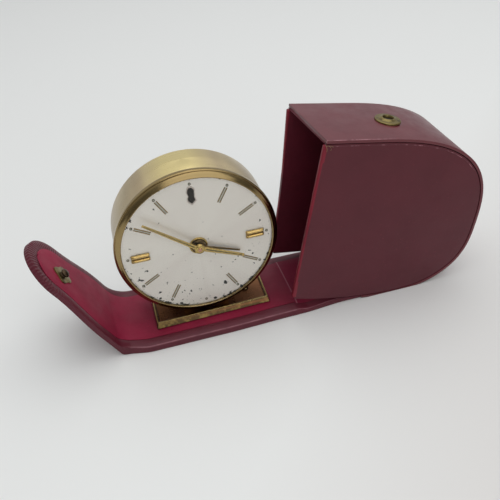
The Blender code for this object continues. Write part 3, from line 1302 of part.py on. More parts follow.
def make_controls():
    """Keys, knobs, the alarm's stop button and the regulator, all reached from the back."""
    clock_piece("time_winding_key", key_mesh("time_winding_key", KEY_WING_SPAN), "satin_brass", BARREL)
    key = key_mesh("alarm_winding_key", ALARM_KEY_WING_SPAN)
    clock_piece("alarm_winding_key", key, "satin_brass", ALARM_BARREL)
    clock_piece("hand_setting_knob", knob_mesh("hand_setting_knob", SET_KNOB_RADIUS), "satin_brass")
    knob = knob_mesh("alarm_setting_knob", ALARM_KNOB_RADIUS)
    clock_piece("alarm_setting_knob", knob, "satin_brass", ALARM_SET)
    collar_back = COVER_FRONT + CLEARANCE
    profile = [
        (0.0, collar_back + BUTTON_COLLAR_HEIGHT),
        (BUTTON_COLLAR, collar_back + BUTTON_COLLAR_HEIGHT),
        (BUTTON_COLLAR, collar_back),
        (BUTTON_RADIUS, collar_back),
        (BUTTON_RADIUS, COVER_BACK - BUTTON_STAND),
        (0.0, COVER_BACK - BUTTON_STAND),
    ]
    button = turned_mesh("alarm_stop_button", profile, SMALL_STEPS, closed=False)
    clock_piece("alarm_stop_button", button, "steel", BUTTON)
    top = BACK_PLATE_BOTTOM - CLEARANCE
    low = top - REGULATOR_THICKNESS
    ring = ring_mesh("regulator_lever", REGULATOR_RING, ARBOR + CLEARANCE, low, top, SMALL_STEPS)
    arm_low = (-REGULATOR_ARM / 2, REGULATOR_RING - REGULATOR_ARM / 2, low)
    arm = box_mesh("regulator_arm", arm_low, (REGULATOR_ARM / 2, REGULATOR_LENGTH + REGULATOR_PIN, top))
    pin = rod_mesh("regulator_pin", REGULATOR_PIN, COVER_BACK - REGULATOR_STAND, top)
    pin.transform(Matrix.Translation((0.0, REGULATOR_LENGTH, 0.0)))
    clock_piece("regulator_lever", united(ring, arm, pin), "steel", BALANCE)


make_base()
make_strap()
make_flap()
make_hood()
make_cradle()
make_case()
make_plates()
make_motion_work()
make_hands()
make_train()
make_barrels()
make_alarm()
make_controls()
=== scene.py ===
"""Looks of the travel alarm clock and its leather case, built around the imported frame."""

import json
import math

import bpy
from mathutils import Matrix, Vector


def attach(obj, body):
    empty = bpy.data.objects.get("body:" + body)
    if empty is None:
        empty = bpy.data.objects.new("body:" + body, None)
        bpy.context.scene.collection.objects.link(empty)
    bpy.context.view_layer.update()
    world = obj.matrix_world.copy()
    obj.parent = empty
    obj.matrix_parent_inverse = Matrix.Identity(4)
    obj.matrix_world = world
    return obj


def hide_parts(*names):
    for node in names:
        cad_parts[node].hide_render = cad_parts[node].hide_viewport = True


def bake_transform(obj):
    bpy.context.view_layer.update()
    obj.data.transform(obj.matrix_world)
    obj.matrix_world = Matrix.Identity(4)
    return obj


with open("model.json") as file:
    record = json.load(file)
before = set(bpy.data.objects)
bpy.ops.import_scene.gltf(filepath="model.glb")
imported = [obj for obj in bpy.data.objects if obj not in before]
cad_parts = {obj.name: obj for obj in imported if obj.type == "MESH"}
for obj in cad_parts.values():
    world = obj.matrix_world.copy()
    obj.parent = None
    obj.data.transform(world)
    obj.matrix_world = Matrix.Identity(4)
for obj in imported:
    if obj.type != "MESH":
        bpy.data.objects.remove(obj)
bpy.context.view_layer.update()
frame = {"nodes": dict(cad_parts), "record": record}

# Sizes in mm, with the origin under the clock's middle, X to the right and Y to the back
MM = 0.001
TINY = 0.01
CLOCK_HEIGHT = 36.7
DIAL = 8.2

# Leather strip: the base, the flap raised about its axis, and the strap
STRIP_HALF = 16.7
BASE_RIGHT = 34.0
BASE_TOP = 3.15
BORDER = 4.2
FLAP_ANGLE = math.radians(62)
FLAP_AXIS = (-34.8, 0.95)
FLAP_LENGTH = 50.2
FLAP_STRAIGHT = 14.0
FLAP_SHOULDER = 36.5
FLAP_TIP_HALF = 13.1
FLAP_TIP_POWER = 2.05
FLAP_BOW = 1.3
FRONT_SWELL = 1.9
FRONT_DROOP = 0.9

# Hood, drawn level with the middle of its mouth at the origin, then tipped and moved there
HOOD_TILT = math.radians(10.06)
HOOD_MOUTH = (39.93, 39.65)
HOOD_HALF = 33.24
HOOD_FOOT_DROP = 0.3
HOOD_STRAIGHT = 19.0
HOOD_ROUND = 50.4
HOOD_POWER = 2.75
HOOD_NOSE = -2.5
HOOD_STEPS = 72
BOARD_MIDDLE = 15.85
BAND_HALF = 16.75
BACK_SHIFT = 1.0
MOUTH_SKEW_FRONT, MOUTH_SKEW_BACK = 0.9, -1.9

# Press stud: where the socket lies on the hood, and the stud on the flap
SOCKET_DEPTH = 30.7
SOCKET_SIDE = -0.8
SOCKET_LEVEL = 34.0
STUD_PLACE = (34.3, 1.5, -0.5)


# Small helpers, in the way of working by hand


def added(name, data):
    """Put a new object with this data into the scene."""
    piece = bpy.data.objects.new(name, data)
    bpy.context.scene.collection.objects.link(piece)
    return piece


def only(piece):
    """Select one piece and make it the active one."""
    bpy.ops.object.select_all(action="DESELECT")
    piece.select_set(True)
    bpy.context.view_layer.objects.active = piece
    return piece


def named(name):
    """Name the piece that was just added, and its mesh."""
    piece = bpy.context.object
    piece.name = name
    piece.data.name = name
    return only(piece)


def edit(piece, action="SELECT"):
    """Open a piece for editing, with all or none of its points selected."""
    only(piece)
    bpy.ops.object.mode_set(mode="EDIT")
    bpy.ops.mesh.select_all(action=action)


def close(piece):
    """End the editing of a piece."""
    bpy.ops.object.mode_set(mode="OBJECT")
    return piece


def fix(piece):
    """Put a piece's place into its mesh."""
    only(piece)
    bpy.ops.object.transform_apply(location=True, rotation=True, scale=True)
    return piece


def place(piece, move=(0.0, 0.0, 0.0), turn=(0.0, 0.0, 0.0)):
    """Turn a piece about the origin, move it by millimetres, and put its place into its mesh."""
    spin = Matrix.Identity(4)
    for angle, axis in zip(turn, "XYZ"):
        spin = Matrix.Rotation(angle, 4, axis) @ spin
    piece.matrix_world = Matrix.Translation(Vector(move) * MM) @ spin @ piece.matrix_world
    return fix(piece)


def apply_all(piece):
    """Apply every modifier of a piece."""
    only(piece)
    for modifier in list(piece.modifiers):
        bpy.ops.object.modifier_apply(modifier=modifier.name)
    return piece


def rounded(piece, width, segments=3, angle=30.0):
    """Round a piece's edges; the width is in mm."""
    modifier = piece.modifiers.new("Round", "BEVEL")
    modifier.width = width * MM
    modifier.segments = segments
    modifier.limit_method = "ANGLE"
    modifier.angle_limit = math.radians(angle)
    return apply_all(piece)


def thick(piece, thickness):
    """Give a sheet its thickness in mm, downwards."""
    modifier = piece.modifiers.new("Thickness", "SOLIDIFY")
    modifier.thickness = thickness * MM
    modifier.offset = -1.0
    modifier.use_even_offset = True
    return apply_all(piece)


def smooth(piece, angle=40.0):
    """Shade a piece smooth, with its hard corners kept."""
    only(piece)
    bpy.ops.object.shade_smooth_by_angle(angle=math.radians(angle))
    return piece


def merged(piece, distance=0.002):
    """Merge doubled points and turn the faces outwards."""
    edit(piece)
    bpy.ops.mesh.remove_doubles(threshold=distance * MM)
    bpy.ops.mesh.normals_make_consistent(inside=False)
    return close(piece)


def joined(first, *others):
    """Join pieces into the first one."""
    bpy.ops.object.select_all(action="DESELECT")
    for piece in (first, *others):
        piece.select_set(True)
    bpy.context.view_layer.objects.active = first
    bpy.ops.object.join()
    return first


def nudge(piece, chosen, move):
    """Move the points that a test chooses; places and the move are in mm."""
    edit(piece, "DESELECT")
    close(piece)
    for vertex in piece.data.vertices:
        vertex.select = chosen(vertex.co / MM)
    bpy.ops.object.mode_set(mode="EDIT")
    bpy.ops.transform.translate(value=Vector(move) * MM)
    return close(piece)


def turned(name, rings, steps=160, closed=False):
    """A turned piece drawn ring by ring along Z from one circle; each ring is a radius and a height in mm."""
    rings = [(max(radius, TINY), height) for radius, height in rings]
    if closed:
        rings.append(rings[0])
    radius, height = rings[0]
    bpy.ops.mesh.primitive_circle_add(vertices=steps, radius=radius * MM, location=(0, 0, height * MM))
    piece = named(name)
    edit(piece)
    for (old, low), (new, high) in zip(rings, rings[1:]):
        bpy.ops.mesh.extrude_edges_move(TRANSFORM_OT_translate={"value": (0, 0, (high - low) * MM)})
        share = new / old
        bpy.ops.transform.resize(value=(share, share, 1), center_override=(0, 0, high * MM))
    if not closed:
        bpy.ops.mesh.select_all(action="DESELECT")
        bpy.ops.mesh.select_non_manifold()
        bpy.ops.mesh.fill_holes(sides=0)
    fix(close(piece))
    return smooth(merged(piece, 0.0005))


def raise_from(piece, height):
    """Give a sheet flat sides and a flat underside at a height in mm."""
    edit(piece)
    bpy.ops.mesh.extrude_region_move()
    bpy.ops.transform.resize(value=(1, 1, 0), center_override=(0, 0, height * MM))
    return merged(close(piece))


def meshed(name, curve):
    """Make a curve a mesh piece."""
    only(added(name, curve))
    bpy.ops.object.convert(target="MESH")
    return named(name)


def outlined(name, loops, low, high):
    """A flat piece cut to an outline with holes, between two heights in mm."""
    curve = bpy.data.curves.new(name, "CURVE")
    curve.dimensions = "2D"
    curve.fill_mode = "BOTH"
    curve.extrude = (high - low) / 2 * MM
    for loop in loops:
        spline = curve.splines.new("POLY")
        spline.points.add(len(loop) - 1)
        for point, spot in zip(spline.points, loop):
            point.co = (spot[0] * MM, spot[1] * MM, 0, 1)
        spline.use_cyclic_u = True
    return merged(place(meshed(name, curve), (0, 0, (low + high) / 2)))


def sheet(name, stations, rows, surface):
    """A grid laid on a surface, which gives a point in mm for a station and a side share."""
    columns = len(stations) - 1
    bpy.ops.mesh.primitive_grid_add(x_subdivisions=columns, y_subdivisions=rows, size=2)
    piece = named(name)
    for vertex in piece.data.vertices:
        column = round((vertex.co.x + 1) / 2 * columns)
        vertex.co = Vector(surface(stations[column], vertex.co.y)) * MM
    return piece


def block(name, low, high, round_off=0.0, segments=3):
    """A box between two corners in mm, with rounded edges."""
    middle = [(a + b) / 2 * MM for a, b in zip(low, high)]
    bpy.ops.mesh.primitive_cube_add(size=1, location=middle)
    piece = named(name)
    piece.scale = [(b - a) * MM for a, b in zip(low, high)]
    fix(piece)
    return rounded(piece, round_off, segments) if round_off else piece


def spread(start, end, count):
    """Evenly spread numbers, both ends included."""
    return [start + (end - start) * n / (count - 1) for n in range(count)]


def full_turn(steps):
    """Even angles all the way round, in radians."""
    return [2 * math.pi * n / steps for n in range(steps)]


def circle(radius, steps):
    """Points round a circle, in mm."""
    return [(radius * math.cos(a), radius * math.sin(a)) for a in full_turn(steps)]


def arc(centre, wide, tall, start, end, count):
    """Points along a stretch of an ellipse, in mm; the turns are in degrees."""
    turns = [math.radians(turn) for turn in spread(start, end, count)]
    return [(centre[0] + wide * math.cos(a), centre[1] + tall * math.sin(a)) for a in turns]


def ease(share):
    """A soft step from 0 to 1."""
    share = min(max(share, 0.0), 1.0)
    return share * share * (3 - 2 * share)


def to_clock(piece, turn=0.0):
    """Stand a piece that was drawn flat in the clock; the turn is clockwise as the face is seen."""
    place(piece, turn=(0.0, 0.0, -turn))
    return place(piece, (0.0, 0.0, CLOCK_HEIGHT), (math.pi / 2, 0.0, 0.0))


def tipped(piece):
    """Carry a piece from the level hood to the tipped one."""
    return place(piece, (HOOD_MOUTH[0], 0.0, HOOD_MOUTH[1]), (0.0, HOOD_TILT, 0.0))


def to_hood(piece):
    """Stand a piece that was drawn flat, with the mouth on the Y axis, in the tipped hood."""
    return tipped(place(piece, turn=(math.pi / 2, 0.0, 0.0)))


def to_flap(piece):
    """Lift a piece that was drawn flat along X onto the raised flap."""
    return place(piece, (FLAP_AXIS[0], 0.0, FLAP_AXIS[1]), (0.0, -FLAP_ANGLE, math.pi))


# Materials


class Tree:
    """The node tree of a material or a world, with short ways to add nodes."""

    def __init__(self, owner):
        """Start with the owner's own nodes."""
        owner.use_nodes = True
        self.nodes = owner.node_tree.nodes
        self.links = owner.node_tree.links

    def feed(self, socket, value):
        """Link a value to a socket, or set it there; a colour gets its alpha."""
        if isinstance(value, bpy.types.NodeSocket):
            self.links.new(value, socket)
        else:
            socket.default_value = (*value, 1.0) if isinstance(value, tuple) else value

    def node(self, kind, inputs, **settings):
        """Add a node, set it up and feed its inputs."""
        node = self.nodes.new("ShaderNode" + kind)
        for key, value in settings.items():
            setattr(node, key, value)
        for key, value in inputs.items():
            self.feed(node.inputs[key], value)
        return node

    def mix(self, share, first, second):
        """Mix two colours; the node's colour sockets are those from 6 on."""
        return self.node("Mix", {0: share, 6: first, 7: second}, data_type="RGBA").outputs[2]

    def math(self, operation, first, second=0.0):
        """One step of arithmetic."""
        return self.node("Math", {0: first, 1: second}, operation=operation).outputs[0]

    def spread(self, value, low, high, start=0.0, end=1.0, **settings):
        """A value stretched so that low gives the start and high gives the end."""
        inputs = {"Value": value, "From Min": low, "From Max": high, "To Min": start, "To Max": end}
        return self.node("MapRange", inputs, clamp=True, **settings).outputs["Result"]


class Paint(Tree):
    """A material, with short ways to make patterns on it."""

    def __init__(self, name):
        """Start with the usual shader and the place on the piece."""
        self.material = bpy.data.materials.new(name)
        super().__init__(self.material)
        self.shader = self.nodes["Principled BSDF"]
        self.place = self.node("TexCoord", {}).outputs["Object"]

    def set(self, **values):
        """Set the shader's own sockets; underscores stand for spaces."""
        for key, value in values.items():
            self.shader.inputs[key.replace("_", " ")].default_value = value

    def axis(self, letter, vector=None):
        """One part of the place on the piece, in metres."""
        return self.node("SeparateXYZ", {"Vector": vector or self.place}).outputs[letter]

    def from_middle(self):
        """How far right of and above the clock's middle a spot lies."""
        return self.axis("X"), self.math("SUBTRACT", self.axis("Z"), CLOCK_HEIGHT * MM)

    def combined(self, **parts):
        """A vector made of its parts."""
        return self.node("CombineXYZ", parts).outputs["Vector"]

    def noted(self):
        """The place that mark_places noted."""
        return self.node("Attribute", {}, attribute_name="flap_place").outputs["Vector"]

    def noise(self, scale, detail=4.0, roughness=0.5, vector=None):
        """A noise pattern."""
        inputs = {"Vector": vector or self.place, "Scale": scale, "Detail": detail, "Roughness": roughness}
        return self.node("TexNoise", inputs).outputs["Fac"]

    def product(self, first, *others):
        """Values multiplied together."""
        for other in others:
            first = self.math("MULTIPLY", first, other)
        return first

    def length(self, first, second):
        """How long a line with these two parts is."""
        squares = self.math("ADD", self.product(first, first), self.product(second, second))
        return self.math("SQRT", squares)

    def line(self, value, middle, half):
        """A soft line where a value in mm is near its middle."""
        away = self.math("ABSOLUTE", self.math("SUBTRACT", value, middle * MM))
        return self.spread(away, half * MM, half * 0.4 * MM)

    def color(self, value):
        """Feed the shader's colour."""
        self.feed(self.shader.inputs["Base Color"], value)

    def rough(self, pattern, low, high):
        """Let the shader's roughness follow a pattern."""
        self.feed(self.shader.inputs["Roughness"], self.spread(pattern, 0.3, 0.7, low, high))

    def bump(self, height, distance, strength, under=None):
        """Raise the surface by a pattern, on top of another one where asked; the distance is in mm."""
        inputs = {"Height": height, "Distance": distance * MM, "Strength": strength}
        if under:
            inputs["Normal"] = under
        normal = self.node("Bump", inputs).outputs["Normal"]
        self.feed(self.shader.inputs["Normal"], normal)
        return normal


def toned(tint, share):
    """A colour made lighter or darker by a share."""
    return tuple(min(c * share, 1.0) for c in tint)


# Worn leather's colour, which also serves for the painted highlight along the base's ridge, and how fast the
# flap's pleats follow each other round its tip
PINK = (0.36, 0.15, 0.18)
PLEATS = 60.0


def leather(name, deep, light, roughness=0.42, grain=1.0, scuffs_and_highlight=None, relief=None, painted_shade=None):
    """Fine-grained dyed leather with slow changes of tone.

    One argument gives the share of pink at each spot, for scuffs and for the painted highlight along the
    base's ridge; relief gives the height, and a span along X gives where a painted shade from the hood
    darkens it.
    """
    paint = Paint(name)
    paint.set(IOR=1.4)
    tone = paint.mix(paint.spread(paint.noise(70.0, 5.0, 0.6), 0.35, 0.68), deep, light)
    pores = paint.spread(paint.noise(900.0, 3.0, 0.6), 0.62, 0.85)
    tone = paint.mix(pores, tone, toned(light, 1.5))
    if painted_shade:
        # Painted shade: the colour darkens along X towards the hood
        tone = paint.mix(paint.spread(paint.axis("X"), *painted_shade, 0.0, 0.45), tone, toned(deep, 0.5))
    # Pink for scuffs, and on the base's ridge for a painted highlight
    if scuffs_and_highlight:
        tone = paint.mix(scuffs_and_highlight(paint), tone, PINK)
    paint.color(tone)
    paint.rough(paint.noise(160.0, 4.0, 0.6), roughness - 0.06, roughness + 0.1)
    cells = paint.node("TexVoronoi", {"Vector": paint.place, "Scale": 2600.0}, feature="SMOOTH_F1")
    first = paint.bump(cells.outputs["Distance"], 0.02 * grain, 0.5)
    second = paint.bump(paint.noise(420.0, 3.0, 0.5), 0.05 * grain, 0.5, first)
    if relief:
        paint.bump(relief(paint), 0.25, 0.8, second)
    return paint


def flap_pleats(paint):
    """The fine pleats where the leather is turned round the flap's tip."""
    spot = paint.noted()
    up = paint.math("SUBTRACT", paint.axis("X", spot), FLAP_SHOULDER * MM)
    across = paint.axis("Y", spot)
    border = paint.spread(paint.length(up, across), 0.0086, 0.0096)
    tip = paint.spread(up, -0.004, 0.001)
    angle = paint.math("ARCTAN2", across, up)
    wander = paint.product(paint.noise(170.0, 2.0), 3.0)
    folds = paint.math("SINE", paint.math("ADD", paint.product(angle, PLEATS), wander))
    return paint.product(paint.spread(folds, -1.0, 1.0), border, tip)


def band_wear(paint):
    """Broken pink scuffs along the band's front upper edge."""
    edge = paint.line(paint.axis("Y"), 0.4 - BAND_HALF, 0.34)
    high = paint.spread(paint.axis("Z"), 0.055, 0.060)
    left = paint.spread(paint.axis("X"), 0.074, 0.064)
    patches = paint.spread(paint.noise(560.0, 4.0, 0.6), 0.44, 0.56)
    return paint.product(edge, high, left, patches)


def seam_wear(paint):
    """Broken pink scuffs along the fine seam under the band."""
    return paint.spread(paint.noise(520.0, 4.0, 0.6), 0.5, 0.62, 0.1, 0.9)


def base_ridge_highlight(paint):
    """A painted pink highlight along the ridge at the front edge of the base's top, broken into patches."""
    ridge = paint.line(paint.axis("Z", paint.noted()), 0.4, 0.3)
    raised = paint.spread(paint.axis("Z"), 0.0011, 0.0016)
    on_base = paint.spread(paint.axis("X"), -0.034, -0.031)
    patches = paint.spread(paint.noise(260.0, 4.0, 0.6), 0.3, 0.6, 0.18, 0.6)
    return paint.product(ridge, raised, on_base, patches)


def crease_wear(paint):
    """The thin pink line that the crease has worn into the lining."""
    return paint.product(paint.line(paint.axis("X"), 34.75, 0.34), 0.6)


def metal(name, tint, roughness, stain=None, scratch=0.004):
    """Brass or steel with slight changes of tone, fine scratches and, where asked, dark age stains."""
    paint = Paint(name)
    paint.set(Metallic=1.0)
    tone = paint.mix(paint.noise(90.0, 4.0), tint, toned(tint, 0.86))
    if stain:
        tone = paint.mix(paint.spread(paint.noise(420.0, 6.0, 0.65), 0.53, 0.63), tone, stain)
    paint.color(tone)
    paint.rough(paint.noise(300.0, 4.0), roughness * 0.8, roughness * 1.3)
    paint.bump(paint.noise(1500.0, 2.0), scratch, 0.4)
    return paint


def cradle_brass_with_painted_light():
    """Brass with patina spots on its rim, a painted highlight along the rim's top, and nearly brown on the
    tray's floor and the saddle's top, which is painted shade and reflection under the clock.
    """
    paint = Paint("Patinated cradle brass")
    paint.set(Metallic=1.0)
    height = paint.axis("Z")
    outside = paint.spread(paint.axis("Y"), -0.0100, -0.0106)
    on_rim = paint.math("MAXIMUM", paint.spread(height, 0.0051, 0.0056), outside)
    below_saddle = paint.spread(height, 0.0066, 0.0062)
    spots = paint.spread(paint.noise(520.0, 5.0, 0.6), 0.36, 0.52)
    rim = paint.mix(spots, (0.17, 0.115, 0.042), (0.07, 0.045, 0.022))
    # Painted highlight: the rim's top is lighter
    rim = paint.mix(paint.spread(height, 0.00575, 0.0059, 0.0, 0.8), rim, (0.42, 0.31, 0.13))
    # Painted shade and reflection: the floor and the saddle's top are dark brown
    floor = paint.mix(paint.noise(160.0, 4.0), (0.13, 0.052, 0.028), (0.20, 0.095, 0.042))
    paint.color(paint.mix(paint.product(on_rim, below_saddle), floor, rim))
    paint.rough(paint.noise(300.0, 4.0), 0.24, 0.36)
    paint.bump(paint.noise(700.0, 3.0), 0.02, 0.4)
    return paint


def brushed_case():
    """Satin brass with very fine turning lines, and painted reflections round the case: soft broad bands, a
    bright top and darker sides.
    """
    paint = Paint("Satin turned brass")
    paint.set(Metallic=1.0, Anisotropic=0.6)
    angle = paint.math("ARCTAN2", *paint.from_middle())
    # Painted reflection: soft broad bands by angle round the case
    reflection_bands = paint.spread(paint.noise(2.6, 1.5, 0.5, paint.combined(X=angle)), 0.4, 0.6)
    # Painted highlight at the top of the case
    beside_top = paint.spread(paint.math("ABSOLUTE", paint.math("ADD", angle, 0.08)), 0.16, 0.48)
    tone = paint.mix(reflection_bands, (0.56, 0.44, 0.27), (0.68, 0.55, 0.33))
    tone = paint.mix(beside_top, (0.83, 0.69, 0.33), tone)
    # Painted shade: the sides away from the top are darker
    away = paint.spread(paint.math("ABSOLUTE", angle), 0.5, 1.4)
    tone = paint.mix(away, tone, (0.45, 0.385, 0.29))
    turning = paint.combined(X=paint.product(angle, 0.0006), Y=paint.axis("Y"))
    lines = paint.noise(2200.0, 3.0, 0.6, turning)
    paint.color(paint.mix(paint.spread(lines, 0.3, 0.7, 0.0, 0.12), tone, (0.35, 0.27, 0.15)))
    paint.rough(lines, 0.26, 0.34)
    paint.bump(lines, 0.002, 0.3)
    return paint


def silvered_dial():
    """A silvered dial with a fine sunray grain and small dark age specks, most of them low down."""
    paint = Paint("Silvered sunray dial")
    paint.set(Metallic=0.35, Anisotropic=0.4)
    across, up = paint.from_middle()
    around = paint.combined(X=paint.math("ARCTAN2", across, up))
    rays = paint.noise(38.0, 8.0, 0.75, around)
    broad = paint.noise(1.1, 2.0, 0.5, around)
    tone = paint.mix(rays, (0.80, 0.765, 0.69), (0.96, 0.93, 0.86))
    tone = paint.mix(paint.spread(broad, 0.35, 0.65, 0.0, 0.5), tone, (0.76, 0.70, 0.64))
    low_half = paint.spread(up, 0.008, -0.020, 0.0, 0.078)
    rim = paint.spread(paint.length(across, up), 0.0262, 0.0278, 0.0, 0.10)
    threshold = paint.math("SUBTRACT", 0.737, paint.math("ADD", low_half, rim))
    specks = paint.math("GREATER_THAN", paint.noise(540.0, 3.0, 0.5), threshold)
    dust = paint.math("GREATER_THAN", paint.noise(1100.0, 2.0, 0.5), paint.math("ADD", threshold, 0.045))
    mask = paint.math("MAXIMUM", specks, dust)
    paint.color(paint.mix(mask, tone, (0.045, 0.045, 0.04)))
    paint.rough(rays, 0.32, 0.5)
    paint.bump(rays, 0.006, 0.5)
    return paint


def clear_crystal():
    """A clear crystal that shows only a faint gloss."""
    paint = Paint("Clear crystal")
    paint.set(Base_Color=(0.15, 0.17, 0.17, 1.0), Roughness=0.03, Alpha=0.04, IOR=1.3)
    paint.material.surface_render_method = "BLENDED"
    return paint


def plain(name, tint, roughness):
    """A small plain finish with a slight change of tone."""
    paint = Paint(name)
    paint.color(paint.mix(paint.noise(800.0), tint, toned(tint, 0.7)))
    paint.set(Roughness=roughness)
    paint.bump(paint.noise(2500.0), 0.01, 0.4)
    return paint


DEEP, LIGHT = (0.088, 0.0115, 0.020), (0.100, 0.0135, 0.023)
STRIP_DEEP, STRIP_LIGHT = (0.092, 0.010, 0.021), (0.115, 0.013, 0.026)
# The band's colours are a lighter copy of the boards' burgundy: painted sheen on the hood's lit top
BAND_DEEP, BAND_LIGHT = (0.112, 0.0125, 0.021), (0.132, 0.0155, 0.025)
RED_DEEP, RED_LIGHT = (0.205, 0.005, 0.030), (0.275, 0.008, 0.041)
# A darker copy of the crimson lining for the strap: painted shade where it runs under the hood
SHADED_DEEP, SHADED_LIGHT = (0.175, 0.005, 0.029), (0.205, 0.007, 0.034)

burgundy = leather("Burgundy leather", DEEP, LIGHT)
band_leather = leather("Burgundy band leather", BAND_DEEP, BAND_LIGHT, 0.36, scuffs_and_highlight=band_wear)
band_leather.set(IOR=1.55)
seam_leather = leather("Burgundy seam leather", DEEP, LIGHT, 0.4, scuffs_and_highlight=seam_wear)
# The strip's pink along the base's front ridge is a painted highlight
strip_paint = leather("Burgundy strip leather", STRIP_DEEP, STRIP_LIGHT, 0.42, 1.1, base_ridge_highlight, flap_pleats)
# The crimson lining darkens from 18 to 32 mm along X: painted shade from the hood
crimson = leather("Crimson lining", RED_DEEP, RED_LIGHT, 0.6, 0.7, crease_wear, painted_shade=(0.018, 0.032))
hood_shaded_crimson = leather("Crimson lining with painted hood shade", SHADED_DEEP, SHADED_LIGHT, 0.6, 0.7, crease_wear)
edge_crimson = leather("Crimson turned edge", (0.17, 0.007, 0.020), (0.23, 0.010, 0.027), 0.5, 0.7)
hood_lining_paint = leather("Hood lining", (0.105, 0.008, 0.020), (0.14, 0.010, 0.026), 0.6, 0.7)
bezel_gold = metal("Polished bezel brass", (0.36, 0.262, 0.12), 0.17)
cradle_brass = cradle_brass_with_painted_light()
line_gold = metal("Gilt lines", (0.30, 0.19, 0.055), 0.3)
marker_gold = metal("Gilt markers", (0.66, 0.46, 0.17), 0.14)
hand_gold = metal("Gilt hands", (0.60, 0.43, 0.15), 0.2)
snap_brass = metal("Aged snap brass", (0.23, 0.18, 0.072), 0.38, (0.10, 0.075, 0.032), 0.01)
ball_brass = metal("Dark stud brass", (0.075, 0.05, 0.032), 0.36)
hub_brass = metal("Dark hub brass", (0.17, 0.115, 0.055), 0.3)
copper = metal("Copper pivot", (0.66, 0.36, 0.24), 0.3)
movement_brass = metal("Movement brass", (0.72, 0.54, 0.26), 0.28)
steel = metal("Plain steel", (0.45, 0.46, 0.48), 0.28)
case_brass = brushed_case()
dial_paint = silvered_dial()
crystal_paint = clear_crystal()
dark_lume = plain("Darkened lume", (0.11, 0.095, 0.045), 0.7)
pale_lume = plain("Pale lume", (0.60, 0.59, 0.50), 0.7)
residue = plain("Glue residue", (0.026, 0.02, 0.015), 0.8)
faded = plain("Faded silvering", (0.66, 0.58, 0.51), 0.7)
thread = plain("Tan thread", (0.30, 0.17, 0.10), 0.8)


def dress(piece, paint, body, replaced):
    """Give a piece its finish and its body, and hide the frame nodes that it stands for.

    A bent piece has no body.
    """
    piece.data.materials.clear()
    piece.data.materials.append(paint.material)
    if body:
        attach(piece, body)
    if replaced:
        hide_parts(*replaced)


# Leather base, flap and strap


def flap_half(s):
    """Half the flap's width at a distance from its crease."""
    if s <= FLAP_STRAIGHT:
        return STRIP_HALF
    if s <= FLAP_SHOULDER:
        start = FLAP_STRAIGHT - 1.0
        return STRIP_HALF + (FLAP_TIP_HALF - STRIP_HALF) * ease((s - start) / (FLAP_SHOULDER - start))
    far = (s - FLAP_SHOULDER) / (FLAP_LENGTH - FLAP_SHOULDER)
    return FLAP_TIP_HALF * max(1 - far ** FLAP_TIP_POWER, 0.0) ** (1 / FLAP_TIP_POWER)


def bulge(x):
    """How far the soft base swells forwards past the flap's width."""
    begun, past_middle, on_strap = ease((x + 35.0) / 11.0), ease((x - 5.0) / 28.0), ease((x - 36.0) / 18.0)
    return FRONT_SWELL * begun * (1 - 0.35 * past_middle) * (1 - on_strap)


def sideways(side, half, x, share=1.0):
    """The place across the strip for a side share; the front half swells forwards."""
    return side * half - max(-side, 0.0) * bulge(x) * share


def padding(side):
    """How far the lining stands above the leather; its sides are pressed down."""
    return 0.04 + 0.26 * (1 - abs(side) ** 6)


# How far from the corner the arc at the flap's crease starts in front, and how much further off behind
OUTER_CUT, INNER_CUT = (1.4, 2.6), (3.4, 3.6)
ALONG_FLAP = Vector((-math.cos(FLAP_ANGLE), math.sin(FLAP_ANGLE)))
ACROSS_FLAP = Vector((math.sin(FLAP_ANGLE), math.cos(FLAP_ANGLE)))


def flap_line(s, share, lift=0.0, side=0.0):
    """A point of the bent strip in side view, at a distance from the flap's axis; share 0 is its outer face.

    The flat line and the raised one meet in a corner, which an arc rounds off. The arc is wider at the back.
    """
    foot, level = Vector(FLAP_AXIS), BASE_TOP * share + lift
    out = FLAP_AXIS[1] * (2 * share - 1) + lift
    rise = (level - foot.y - ACROSS_FLAP.y * out) / ALONG_FLAP.y
    corner = foot + ALONG_FLAP * rise + ACROSS_FLAP * out
    least, more = OUTER_CUT if share < 0.5 else INNER_CUT
    cut = least + more * (1 + side) / 2
    flat_end, raised_start = foot.x - corner.x - cut, rise + cut
    if s <= flat_end:
        return Vector((foot.x - s, level))
    if s >= raised_start:
        bow = -FLAP_BOW * ((s - raised_start) / (FLAP_LENGTH - raised_start)) ** 2
        return foot + ALONG_FLAP * s + ACROSS_FLAP * (out + bow)
    turn = FLAP_ANGLE * (s - flat_end) / (raised_start - flat_end)
    radius = cut / math.tan(FLAP_ANGLE / 2)
    return Vector((corner.x + cut - radius * math.sin(turn), level + radius * (1 - math.cos(turn))))


def stations_to(inset, shoulder, count, end, tip_count):
    """Distances along the strip: even on the base, closer at the crease, and closing up to the flap's tip."""
    start = FLAP_AXIS[0] - BASE_RIGHT + inset
    tip = [shoulder + (end - shoulder) * math.sin(math.pi / 2 * n / tip_count) for n in range(1, tip_count)]
    return spread(start, -6.0, 50) + spread(-5.7, 8.0, 56) + spread(8.8, shoulder, count) + tip


